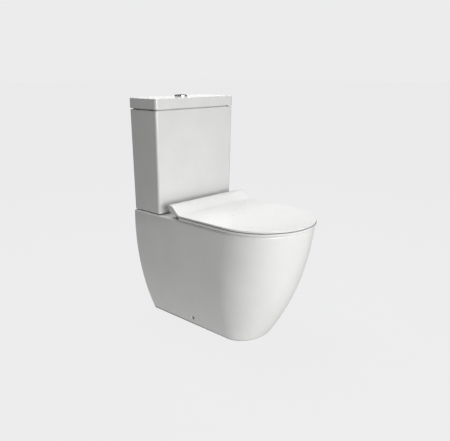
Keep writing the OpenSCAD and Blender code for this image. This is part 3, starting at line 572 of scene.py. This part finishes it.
TRAP_BORE = 36 * MM
TRAP_OUT = 44 * MM
LIMB_Y = BOWL_BACK + 39 * MM
TURN_R = (LIMB_Y - SUMP_Y) / 2
WEIR_R = TRAP_OUT + 4 * MM
WEIR_RISE = 29 * MM
WEIR_Z = OUTLET_Z + WEIR_RISE - WEIR_R
S_TURN = acos(1 - WEIR_RISE / (2 * WEIR_R))
S_END = LIMB_Y + WEIR_R + 2 * WEIR_R * sin(S_TURN)
OUTLET_END = WALL - 55 * MM
OUTLET_R = 51 * MM
OUTLET_BORE = 41 * MM


def bend(y, z, r, start, stop, steps, turned=0.0):
    turns = [blend_of(start, stop, i / steps) for i in range(steps + 1)]
    return [(y + r * cos(t), z + r * sin(t), t + turned) for t in turns]


TRAP_PATH = (
    bend(SUMP_Y + TURN_R, SUMP_Z, TURN_R, pi, 2 * pi, 18)
    + bend(LIMB_Y + WEIR_R, WEIR_Z, WEIR_R, pi, pi / 2 - S_TURN, 14, pi)
    + bend(S_END, OUTLET_Z + WEIR_R, WEIR_R, 3 * pi / 2 - S_TURN, 3 * pi / 2, 7)[1:]
)


def trap_ring(stop, r):
    y, z, t = stop
    return [
        Vector((r * cos(a), y - r * sin(a) * cos(t), z - r * sin(a) * sin(t)))
        for a in BOWL_TURNS
    ]


def pan_outside():
    """From the foot up the skin, over the rim and down the bowl to the sump."""
    top = RIM - RIM_ROUND
    skin_levels = [pan_ring(2 * MM + (top - 2 * MM) * i / 30) for i in range(31)]
    rim = []
    for i in range(1, 7):
        a = radians(15 * i)
        inset = RIM_ROUND * (1 - cos(a))
        rim.append(pan_ring(top + RIM_ROUND * sin(a), inset, shape_z=top))
    flat = [
        pan_ring(RIM, RIM_ROUND + 2 * MM, WALL - 2 * MM, top),
        bowl_ring(0, LIP + 2 * MM, RIM),
        bowl_ring(0, LIP, RIM),
    ]
    lip = [
        bowl_ring(0, LIP * (1 - sin(radians(a))), RIM - LIP * (1 - cos(radians(a))))
        for a in range(15, 91, 15)
    ]
    steps = [1 - (1 - i / 26) ** 1.6 for i in range(2, 27)]
    bowl = [bowl_ring(t) for t in steps]
    foot = [pan_ring(0, 2 * MM), pan_ring(0.6 * MM, 0.6 * MM)]
    return foot + skin_levels + rim + flat + lip + bowl


def pan_inside():
    """Back from the outlet over the outside of the trap and bowl to the foot."""
    under = RIM - DECK
    end = (OUTLET_END, OUTLET_Z, 3 * pi / 2)

    def outlet(back_by, r):
        return trap_ring((end[0] - back_by, end[1], end[2]), r)

    trap_in = [trap_ring(stop, TRAP_BORE) for stop in TRAP_PATH]
    mouth = [
        outlet(24 * MM, TRAP_BORE),
        outlet(20 * MM, OUTLET_BORE),
        outlet(1.5 * MM, OUTLET_BORE),
        outlet(0, OUTLET_BORE + 1.5 * MM),
        outlet(0, OUTLET_R - 2 * MM),
        outlet(0.6 * MM, OUTLET_R - 0.6 * MM),
        outlet(2 * MM, OUTLET_R),
        outlet(30 * MM, OUTLET_R),
        outlet(32.5 * MM, OUTLET_R - 2 * MM),
        outlet(33.2 * MM, TRAP_OUT + 1 * MM),
    ]
    trap_out = [trap_ring(stop, TRAP_OUT) for stop in reversed(TRAP_PATH)]
    steps = [1 - (1 - i / 14) ** 1.6 for i in range(13, 0, -1)]
    bowl = [bowl_ring(1, BOWL_WALL)] + [bowl_ring(t, BOWL_WALL) for t in steps]
    bowl = [r for r in bowl if r[0].z < under - 8 * MM]
    deck = [bowl_ring(0, BOWL_WALL + 6 * MM, under)]
    inner_back = WALL - CHINA
    hollow = [
        pan_ring(z, CHINA, inner_back)
        for z in [under - i * (under - 0.6 * MM) / 12 for i in range(13)]
    ]
    foot = [pan_ring(0, CHINA + 0.6 * MM, inner_back + 0.6 * MM)]
    return trap_in + mouth + trap_out + bowl + deck + hollow + foot


CHANNEL_HALF = 31 * MM
CHANNEL_WALL = 9 * MM
CHANNEL_Z0 = RIM - DECK - 46 * MM
CHANNEL_Z1 = RIM - DECK - CHANNEL_WALL
INLET_R = 31.5 * MM
CHANNEL_BACK = VALVE_Y + INLET_R
PIPE_HOLE_R = 23 * MM
BOLT_HOLE_R = 7 * MM
SIDE_HOLE_R = 7 * MM
SIDE_HOLE_Y = WALL - 229 * MM
SIDE_HOLE_Z = 32 * MM
SIDE_BOSS_R = 16 * MM


def rear_opening():
    """The pan is open at the back, between its side walls."""
    levels = [-5 * MM] + [(RIM - DECK) * i / 14 for i in range(15)]
    rings = []
    for z in levels:
        half = pan_half(max(z, 0)) - CHINA
        y0, y1 = WALL - CHINA - 6 * MM, WALL + 5 * MM
        rings.append(at_height([(half, y0), (half, y1), (-half, y1), (-half, y0)], z))
    return skin(rings)


def pan():
    china = skin(pan_outside() + pan_inside(), closed=True)
    piece = loose_object(china, "pan_body")
    carve(piece, rear_opening())
    half = CHANNEL_HALF + CHANNEL_WALL
    shell = block(
        (-half, BOWL_BACK - 2 * MM, CHANNEL_Z0 - CHANNEL_WALL),
        (half, CHANNEL_BACK + CHANNEL_WALL, RIM - DECK + 2 * MM),
        5 * MM,
    )
    carve(piece, shell, "UNION")
    channel = block(
        (-CHANNEL_HALF, BOWL_BACK - 30 * MM, CHANNEL_Z0),
        (CHANNEL_HALF, CHANNEL_BACK, CHANNEL_Z1),
        6 * MM,
    )
    carve(piece, channel)

    def down(x, y, r, z0, z1):
        carve(piece, rod((x, y, z0), (x, y, z1), r))

    below, above = RIM - DECK - 5 * MM, RIM + 5 * MM
    down(0, VALVE_Y, GASKET_HIGH.x + 1 * MM, GASKET_LOW.z, above)
    down(0, VALVE_Y, INLET_R, CHANNEL_Z1 - 3 * MM, RIM)
    down(FILL_X, VALVE_Y, PIPE_HOLE_R, below, above)
    for side in (-1, 1):
        down(side * BOLT_X, VALVE_Y, BOLT_HOLE_R, below, above)
        down(side * HINGE_X, HINGE_Y, BOLT_HOLE_R, below, above)
        side_fixing(piece, side)
    return finish_piece(piece, PAN_GLAZE, "china", PAN_NODES)


def side_fixing(piece, side):
    """A boss inside the foot and a hole through it with a soft mouth."""
    flare, deep = 4 * MM, 34 * MM
    tilt = radians(3)
    mouth = Vector((side * pan_half(SIDE_HOLE_Z), SIDE_HOLE_Y, SIDE_HOLE_Z))
    out = Vector((side * cos(tilt), 0, sin(tilt)))
    boss = rod(mouth - deep * out, mouth - 8 * MM * out, SIDE_BOSS_R)
    carve(piece, boss, "UNION")
    r, top = SIDE_HOLE_R, deep + 2 * MM
    profile = [(0, 0), (r + 0.05 * MM, 0), (r + 0.05 * MM, top - flare)]
    for a in range(15, 91, 15):
        t = radians(a)
        profile.append((r + flare * (1 - cos(t)), top - flare * (1 - sin(t))))
    profile += [(r + flare + 3 * MM, top + 3 * MM), (0, top + 6 * MM)]
    tool = spun(profile, (0, 0), 40)
    turn = Matrix.Rotation(side * (pi / 2 - tilt), 4, "Y")
    matrix = Matrix.Translation(mouth - (deep + 1.2 * MM) * out) @ turn
    bmesh.ops.transform(tool, matrix=matrix, verts=tool.verts)
    carve(piece, tool)


# ---- cistern ----------------------------------------------------------------

TANK_WALL = 11 * MM
TANK_CORNER = 9 * MM
TANK_FLOOR = 14 * MM
TANK_HALF_TOP = TANK_HIGH.x
TANK_HALF_LOW = TANK_HALF_TOP - 6.5 * MM
TANK_FRONT_TOP = TANK_LOW.y
TANK_FRONT_LOW = TANK_FRONT_TOP + 5.7 * MM
VALVE_HOLE_R = 32.5 * MM
FILL_HOLE_R = 11.5 * MM


def tank_ring(z, inset=0.0, r=TANK_CORNER):
    k = (z - TANK_LOW.z) / (TANK_HIGH.z - TANK_LOW.z)
    half = blend_of(TANK_HALF_LOW, TANK_HALF_TOP, k) - inset
    front = blend_of(TANK_FRONT_LOW, TANK_FRONT_TOP, k) + inset
    return at_height(round_box(-half, half, front, WALL - inset, r), z)


def rounded_turn(size, steps=5):
    """(inset, rise) pairs round a quarter circle, from flat to upright."""
    turns = [radians(90 * i / steps) for i in range(steps + 1)]
    return [(size * (1 - sin(t)), size * (1 - cos(t))) for t in turns]


def cistern():
    z0, z1 = TANK_LOW.z, TANK_HIGH.z
    low = top = 3 * MM
    cove = 8 * MM
    rings = [tank_ring(z0 + up, into, TANK_CORNER - into / 2)
             for into, up in rounded_turn(low)]
    rings += [tank_ring(z1 - up, into) for into, up in reversed(rounded_turn(top))]
    inner = TANK_WALL
    rings += [tank_ring(z1 - up, inner - into) for into, up in rounded_turn(top)]
    floor = z0 + TANK_FLOOR
    rings += [tank_ring(floor + up, inner + into, TANK_CORNER + cove - into / 2)
              for into, up in reversed(rounded_turn(cove))]
    piece = loose_object(skin(rings), "cistern_shell")

    def drill(x, r):
        ends = ((x, VALVE_Y, z0 - 5 * MM), (x, VALVE_Y, floor + 5 * MM))
        carve(piece, rod(*ends, r))

    drill(0, VALVE_HOLE_R)
    drill(FILL_X, FILL_HOLE_R)
    drill(BOLT_X, BOLT_HOLE_R)
    drill(-BOLT_X, BOLT_HOLE_R)
    return finish_piece(piece, CISTERN_GLAZE, "china", ["cistern"])


def cistern_cover():
    """A shallow inverted tray with a lip that drops into the cistern."""
    half, front = LID_HIGH.x, LID_LOW.y
    lip, top_thick, button_hole_r = 8 * MM, 12 * MM, 20.5 * MM
    z0, z1 = LID_LOW.z + lip, LID_HIGH.z
    edge, under = 2.5 * MM, 1.5 * MM
    corner = TANK_CORNER + 1 * MM

    def ring(z, into, r=corner):
        outline = round_box(-half + into, half - into, front + into, WALL - into, r)
        return at_height(outline, z)

    rings = [ring(z1 - up, into, corner - into / 2)
             for into, up in rounded_turn(edge)]
    rings += [ring(z0 + up, into) for into, up in reversed(rounded_turn(under, 3))]
    lip_in, hollow_in = 15.1 * MM, 20 * MM
    rings += [ring(z0, lip_in - 1 * MM), ring(z0 - 1 * MM, lip_in)]
    rings += [ring(z0 - lip + 1 * MM, lip_in), ring(z0 - lip, lip_in + 1 * MM)]
    rings += [ring(z0 - lip, hollow_in - 1 * MM), ring(z0 - lip + 1 * MM, hollow_in)]
    ceiling = z1 - top_thick
    rings += [ring(ceiling - up, hollow_in + into, 8 * MM)
              for into, up in reversed(rounded_turn(4 * MM))]
    piece = loose_object(skin(rings), "cistern_cover")
    ends = ((0, VALVE_Y, ceiling - 5 * MM), (0, VALVE_Y, z1 + 5 * MM))
    carve(piece, rod(*ends, button_hole_r))
    return finish_piece(
        piece, CISTERN_GLAZE, "cistern_lid", ["cistern_lid"]
    )


# ---- button -----------------------------------------------------------------


def button_ring():
    """A threaded bezel with a guide floor for the two push rods."""
    bore, shank, rim = 18.2 * MM, 20 * MM, RING_HIGH.x
    z0, z2 = RING_LOW.z, RING_HIGH.z
    z1 = LID_HIGH.z + 0.6 * MM
    r = 1.6 * MM
    profile = [(bore, z0), (shank, z0)]
    thread = 1.5 * MM
    turns = int((LID_HIGH.z - 13 * MM - z0) / thread)
    for i in range(turns):
        z = z0 + i * thread
        profile += [(shank - 0.4 * MM, z + 0.3 * thread), (shank, z + 0.8 * thread)]
    profile += [(shank, z1), (rim - 0.3 * MM, z1), (rim, z1 + 0.3 * MM)]
    profile += [
        (rim - r + r * cos(radians(a)), z2 - r + r * sin(radians(a)))
        for a in range(0, 91, 15)
    ]
    profile += [(bore + 1.2 * MM, z2), (bore + 0.3 * MM, z2 - 0.5 * MM)]
    profile += [(bore, z2 - 1.2 * MM)]
    ring = spun(profile, (0, VALVE_Y), 96)
    guide = rod((0, VALVE_Y, z0), (0, VALVE_Y, z0 + 3 * MM), bore + 0.4 * MM)
    piece = loose_object(guide, "button_bezel")
    for node in ("full_flush_rod", "half_flush_rod"):
        low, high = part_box(node)
        x = (low.x + high.x) / 2
        ends = ((x, VALVE_Y, z0 - 2 * MM), (x, VALVE_Y, z0 + 6 * MM))
        carve(piece, rod(*ends, 3.05 * MM, segments=32))
    carve(piece, ring, "UNION")
    return finish_piece(piece, CHROME, "cistern_lid", ["button_ring"])


def push_button(node, side):
    """One part of the round button: a shallow dish with a soft edge."""
    low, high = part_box(node)
    r = 18.15 * MM
    split = high.x if side < 0 else low.x
    turn = degrees(acos(max(-1, min(1, split / r))))
    if side < 0:
        outline = arc(0, 0, r, r, turn, 360 - turn, 60)
    else:
        outline = arc(0, 0, r, r, -turn, turn, 40)
    places = [(x, VALVE_Y + y) for x, y in outline]
    bm = plate(places, low.z, high.z)
    top = [e for e in bm.edges if all(v.co.z > high.z - 1e-6 for v in e.verts)
           and len(e.link_faces) == 2 and e.calc_face_angle() > 1]
    soften(bm, top, 0.8 * MM, 3)
    return piece_from(node + "_cap", bm, CHROME, node, [node])


# ---- seat -------------------------------------------------------------------

SEAT_HALF = SEAT_HIGH.x
NOSE_Y = TIP + SEAT_HALF
SEAT_Z1 = SEAT_LOW.z + 7.5 * MM
SEAT_BAND = 60 * MM
SEAT_HOLE_R = 122 * MM
SEAT_HOLE_LONG = 290 * MM
SEAT_LUG = (24 * MM, 42 * MM)
COVER_LUG = (43 * MM, 61 * MM)
BRIDGE_HALF = SEAT_HALF - 18 * MM
BARREL = SEAT_HIGH.z - HINGE_Z
SEAT_BACK = HINGE_Y - 32 * MM


def seat_outline():
    """Half circle in front, straight sides, a stepped back clear of the posts."""
    end = SEAT_HIGH.y - 4 * MM
    right = [(SEAT_HALF, SEAT_BACK, 14 * MM), (BRIDGE_HALF, SEAT_BACK + 3 * MM, 6 * MM)]
    right += [(BRIDGE_HALF, end, 9 * MM)]
    gap_in, gap_out = HINGE_X - 22 * MM, HINGE_X + 22.5 * MM
    notch = HINGE_Y - 23 * MM
    right += [(gap_out, end, 2 * MM), (gap_out, notch, 5 * MM)]
    right += [(gap_in, notch, 5 * MM), (gap_in, end, 3 * MM)]
    left = [(-x, y, r) for x, y, r in reversed(right)]
    nose = [(x, y, 0) for x, y in arc(0, NOSE_Y, SEAT_HALF, SEAT_HALF, 180, 360, 96)]
    return rounded(right + left + nose)


def seat_ring():
    """The seat with its hole, soft on top, and a lug beside each hinge post."""
    z0, z1 = SEAT_LOW.z + 1.3 * MM, SEAT_Z1
    r = SEAT_HOLE_R
    front = TIP + SEAT_BAND + r
    back = front + SEAT_HOLE_LONG - 2 * r
    hole = arc(0, front, r, r, 180, 360, 64) + arc(0, back, r, r, 0, 180, 64)
    bm = plate(seat_outline(), z0, z1, hole)
    edges = sharp_edges(bm)
    rims = [e for e in edges if abs(e.verts[0].co.z - e.verts[1].co.z) < 1e-7]
    above = [e for e in rims if e.verts[0].co.z > (z0 + z1) / 2]
    below = [e for e in rims if e.verts[0].co.z < (z0 + z1) / 2]
    soften(bm, above, 3.5 * MM, 5)
    soften(bm, below, 1.2 * MM, 3)
    for side in (-1, 1):
        ends = sorted(side * (HINGE_X + x) for x in SEAT_LUG)
        bar = rod((ends[0], HINGE_Y, HINGE_Z), (ends[1], HINGE_Y, HINGE_Z), BARREL,
                  0.8 * MM)
        web = block((ends[0], HINGE_Y - 8 * MM, z0 + 1 * MM),
                    (ends[1], HINGE_Y + 4.8 * MM, HINGE_Z), 1 * MM)
        join(bm, bar, web)
    return piece_from("seat_ring", bm, SEAT_PLASTIC, "seat", ["seat"])


# ---- seat cover -------------------------------------------------------------

COVER_HALF = COVER_HIGH.x
COVER_THICK = 6 * MM
COVER_Z1 = COVER_LOW.z + COVER_THICK
COVER_REAR = HINGE_Y + 15 * MM
SHELF_LONG = 11 * MM
RAMP_LONG = 47 * MM
RAMP_FOOT = COVER_REAR - SHELF_LONG - RAMP_LONG
RISE = COVER_HIGH.z - COVER_Z1


def cover_top(y):
    """Flat, then an S-shaped ramp up to a level shelf at the back."""
    t = max(0.0, min(1.0, (y - RAMP_FOOT) / RAMP_LONG))
    return COVER_Z1 + RISE * t * t * (3 - 2 * t)


# distance in front of the cover's rear edge, then where the cheek's lower edge
# lies below that place: distance behind the rear edge and height
CHEEK = [
    (60, -60, 0), (44, -44, 0), (34, -34, 0.5), (26, -25, 2), (19, -17.5, 4.6),
    (13, -11, 8.3), (8, -5.5, 12.2), (4, -1, 17), (1.5, 2.3, 22.5), (0, 3.4, 27),
]


def cheek_low(y):
    """The cheeks curl under and run out a little behind the raised back."""
    ahead = (COVER_REAR - y) / MM
    for (a, *first), (b, *last) in zip(CHEEK, CHEEK[1:]):
        if b <= ahead <= a:
            share = (a - ahead) / (a - b)
            out, up = (blend_of(u, v, share) for u, v in zip(first, last))
            return COVER_REAR + out * MM, COVER_LOW.z + up * MM
    return y, COVER_LOW.z


def cover_rows(inset):
    """(y, half-width) of each row of the cover, from the nose to the back."""
    r = COVER_HALF - inset
    centre = TIP + COVER_HALF
    rows = [(centre - r * sin(radians(a)), r * cos(radians(a)))
            for a in range(80, 0, -4)]
    rear = COVER_REAR - inset
    foot = RAMP_FOOT - 12 * MM
    rows += [(blend_of(centre, foot, i / 12), r) for i in range(12)]
    for i in range(25):
        t = i / 24
        rows.append((blend_of(foot, rear, t), r - 2.5 * MM * t**2))
    return rows


COLUMNS = 48


def cover_sheet(inset, height):
    """One face of the cover as a grid laid over its outline."""
    rows = cover_rows(inset)
    bm = bmesh.new()
    bmesh.ops.create_grid(
        bm, x_segments=COLUMNS, y_segments=len(rows) - 1, size=1.0
    )
    centre = TIP + COVER_HALF
    r = COVER_HALF - inset
    for vert in bm.verts:
        u = vert.co.x
        row = round((vert.co.y + 1) / 2 * (len(rows) - 1))
        y, half = rows[row]
        x = u * half
        if row == 0:
            y = centre - sqrt(r * r - x * x)
        vert.co = Vector((x, y, height(y)))
    return bm


def rim_loop(bm):
    """The boundary of an open sheet, in order."""
    edges = {e for e in bm.edges if e.is_boundary}
    start = next(iter(edges)).verts[0]
    loop, here = [start], start
    while True:
        edge = next((e for e in here.link_edges if e in edges), None)
        if edge is None:
            break
        edges.discard(edge)
        here = edge.other_vert(here)
        if here is start:
            break
        loop.append(here)
    return loop


def cover_plate():
    cheek = 7 * MM
    bm = cover_sheet(0, cover_top)
    top = rim_loop(bm)
    side_from = RAMP_FOOT - 2 * MM

    def is_side(v):
        return v.co.y > side_from and abs(v.co.x) > COVER_HALF - 5 * MM

    lower = []
    for v in top:
        y, z = v.co.y, cover_top(v.co.y) - COVER_THICK
        if is_side(v):
            y, z = cheek_low(v.co.y)
        lower.append(Vector((v.co.x, y, z)))
    side = [is_side(v) for v in top]
    wall = pull(bm, top, lower)
    inner_sheet = cover_sheet(cheek, lambda y: cover_top(y) - COVER_THICK)
    inner = [v.co.copy() for v in rim_loop(inner_sheet)]
    partners = [min(inner, key=lambda p: (p.xy - v.co.xy).length) for v in wall]
    places = [
        Vector((p.x, v.co.y, v.co.z)) if on_side else p.copy()
        for v, p, on_side in zip(wall, partners, side)
    ]
    foot = pull(bm, wall, places)
    pull(bm, foot, partners)
    join(bm, inner_sheet)
    bmesh.ops.remove_doubles(bm, verts=bm.verts, dist=2e-6)
    bmesh.ops.dissolve_degenerate(bm, edges=bm.edges, dist=2e-6)
    bmesh.ops.recalc_face_normals(bm, faces=bm.faces)
    below = set(wall)
    under = [e for e in sharp_edges(bm, 30) if below.issuperset(e.verts)]
    soften(bm, under, 2.8 * MM, 4)
    above = [e for e in sharp_edges(bm, 50)
             if all(abs(v.co.z - cover_top(v.co.y)) < 1e-5 for v in e.verts)]
    soften(bm, above, 1.8 * MM, 4)
    return bm


def seat_cover():
    """The cover with a lug outside each of the seat's own."""
    bm = cover_plate()
    for side in (-1, 1):
        ends = sorted(side * (HINGE_X + x) for x in COVER_LUG)
        bar = rod((ends[0], HINGE_Y, HINGE_Z), (ends[1], HINGE_Y, HINGE_Z), BARREL,
                  0.8 * MM)
        reach = BARREL - 0.8 * MM
        web = block((ends[0], HINGE_Y - reach, HINGE_Z),
                    (ends[1], HINGE_Y + reach, HINGE_Z + 1 * MM))
        for vert in web.verts:
            if vert.co.z > HINGE_Z + 0.5 * MM:
                vert.co.z = cover_top(vert.co.y) - COVER_THICK / 2
        join(bm, bar, web)
    return piece_from(
        "seat_cover", bm, SEAT_PLASTIC, "seat_lid", COVER_NODES
    )


# ---- small parts ------------------------------------------------------------


def refined(node, material, body):
    """A copy of a plain CAD part with its corners taken off."""
    bm = bmesh.new()
    bm.from_mesh(frame["nodes"][node].data)
    bmesh.ops.remove_doubles(bm, verts=bm.verts, dist=1e-6)
    bmesh.ops.dissolve_limit(
        bm, angle_limit=radians(1.5), verts=bm.verts, edges=bm.edges
    )
    soften(bm, sharp_edges(bm), 0.4 * MM, 2)
    return piece_from(node + "_part", bm, material, body, [node])


SLOT_MATERIALS = {
    "chrome": CHROME,
    "steel": ZINC,
    "valve_white": WHITE_PLASTIC,
    "valve_grey": GREY_PLASTIC,
    "valve_blue": BLUE_PLASTIC,
    "rubber_black": BLACK_RUBBER,
    "foam_grey": SPONGE,
    "buffer_clear": SOFT_BUFFER,
}
OWN_MODELS = {
    *PAN_NODES, *COVER_NODES, "cistern", "cistern_lid", "seat",
    "button_ring", "full_flush_button", "half_flush_button",
}


def small_parts():
    """Every CAD part that has no model of its own here."""
    slots = {s["node"]: s["material_slot"] for s in frame["record"]["subparts"]}
    for body, nodes in frame["record"]["behaviour"]["bodies"].items():
        for node in nodes:
            if node not in OWN_MODELS:
                slot = slots[node]
                refined(node, SLOT_MATERIALS[slot], body)


# ---- studio -----------------------------------------------------------------

BACKDROP = (0.838, 0.838, 0.847)


def studio(level):
    """An evenly lit pale sweep behind, and a dim even light from all round."""
    world = bpy.data.worlds.new("studio")
    bpy.context.scene.world = world
    world.use_nodes = True
    tree = world.node_tree
    tree.nodes.clear()
    out = tree.nodes.new("ShaderNodeOutputWorld")
    mix = tree.nodes.new("ShaderNodeMixShader")
    seen = tree.nodes.new("ShaderNodeBackground")
    lit = tree.nodes.new("ShaderNodeBackground")
    path = tree.nodes.new("ShaderNodeLightPath")
    seen.inputs["Color"].default_value = (*BACKDROP, 1)
    lit.inputs["Color"].default_value = (level, level, level * 1.02, 1)
    tree.links.new(path.outputs["Is Camera Ray"], mix.inputs["Fac"])
    tree.links.new(lit.outputs["Background"], mix.inputs[1])
    tree.links.new(seen.outputs["Background"], mix.inputs[2])
    tree.links.new(mix.outputs["Shader"], out.inputs["Surface"])


def pale_floor():
    """The floor glows as evenly as the sweep, so no edge shows between them."""
    bm = bmesh.new()
    bmesh.ops.create_grid(bm, x_segments=1, y_segments=1, size=40.0)
    ground = loose_object(bm, "floor")
    f = Finish("pale_floor", (0.02, 0.02, 0.02), 0.9)
    f.shader.inputs["Specular IOR Level"].default_value = 0.0
    f.tint(f.noise(2.0, 2), (0.021, 0.021, 0.021))
    f.shader.inputs["Emission Color"].default_value = (*BACKDROP, 1)
    f.shader.inputs["Emission Strength"].default_value = 0.985
    ground.data.materials.append(f.material)
    ground.visible_diffuse = False
    ground.visible_glossy = False


def soft_box(name, place, aim, size, watts, mirrored=True):
    """An area light turned to its aim; the glaze needn't mirror it."""
    light = bpy.data.lights.new(name, "AREA")
    light.shape = "RECTANGLE"
    light.size, light.size_y = size
    light.energy = watts
    made = bpy.data.objects.new(name, light)
    bpy.context.scene.collection.objects.link(made)
    made.visible_camera = False
    made.visible_glossy = mirrored
    made.location = place
    ahead = Vector(aim) - Vector(place)
    made.rotation_euler = ahead.to_track_quat("-Z", "Y").to_euler()


def lights():
    soft_box("top_back", (0.1, 0.6, 2.8), (0, 0, 0.4), (2.0, 1.6), 73.5, False)
    soft_box("back_card", (2.1, 2.4, 0.95), (0, 0.25, 0.82), (2.8, 0.35), 3.6)
    soft_box("front", (0.5, -3.2, 1.4), (0, 0, 0.4), (2.4, 2.4), 40)
    soft_box("nose_high", (-1.0, -2.6, 0.9), (0, -0.2, 0.2), (0.9, 0.9), 29.4)
    soft_box("nose_low", (-0.9, -2.6, 0.35), (0, -0.2, 0.2), (1.0, 0.5), 10.8)
    soft_box("glow", (0, -0.2, 0.003), (0, -0.2, 1), (3.0, 3.0), 14.7)


def camera():
    """Stands to the left of the front and looks down a little."""
    away = Vector((-1.3942, -1.6008, 0.9084))
    down, right = 15.16, 46.61
    data = bpy.data.cameras.new("camera")
    data.sensor_width = 36.0
    data.lens = 44.54
    made = bpy.data.objects.new("camera", data)
    bpy.context.scene.collection.objects.link(made)
    made.location = away + Vector((0, WALL, 0))
    made.rotation_euler = (radians(90 - down), 0, radians(-right))
    bpy.context.scene.camera = made


camera()
bpy.context.scene.view_settings.view_transform = "Standard"
studio(0.01)
pale_floor()
lights()
pan()
cistern()
cistern_cover()
button_ring()
push_button("full_flush_button", -1)
push_button("half_flush_button", 1)
seat_ring()
seat_cover()
small_parts()
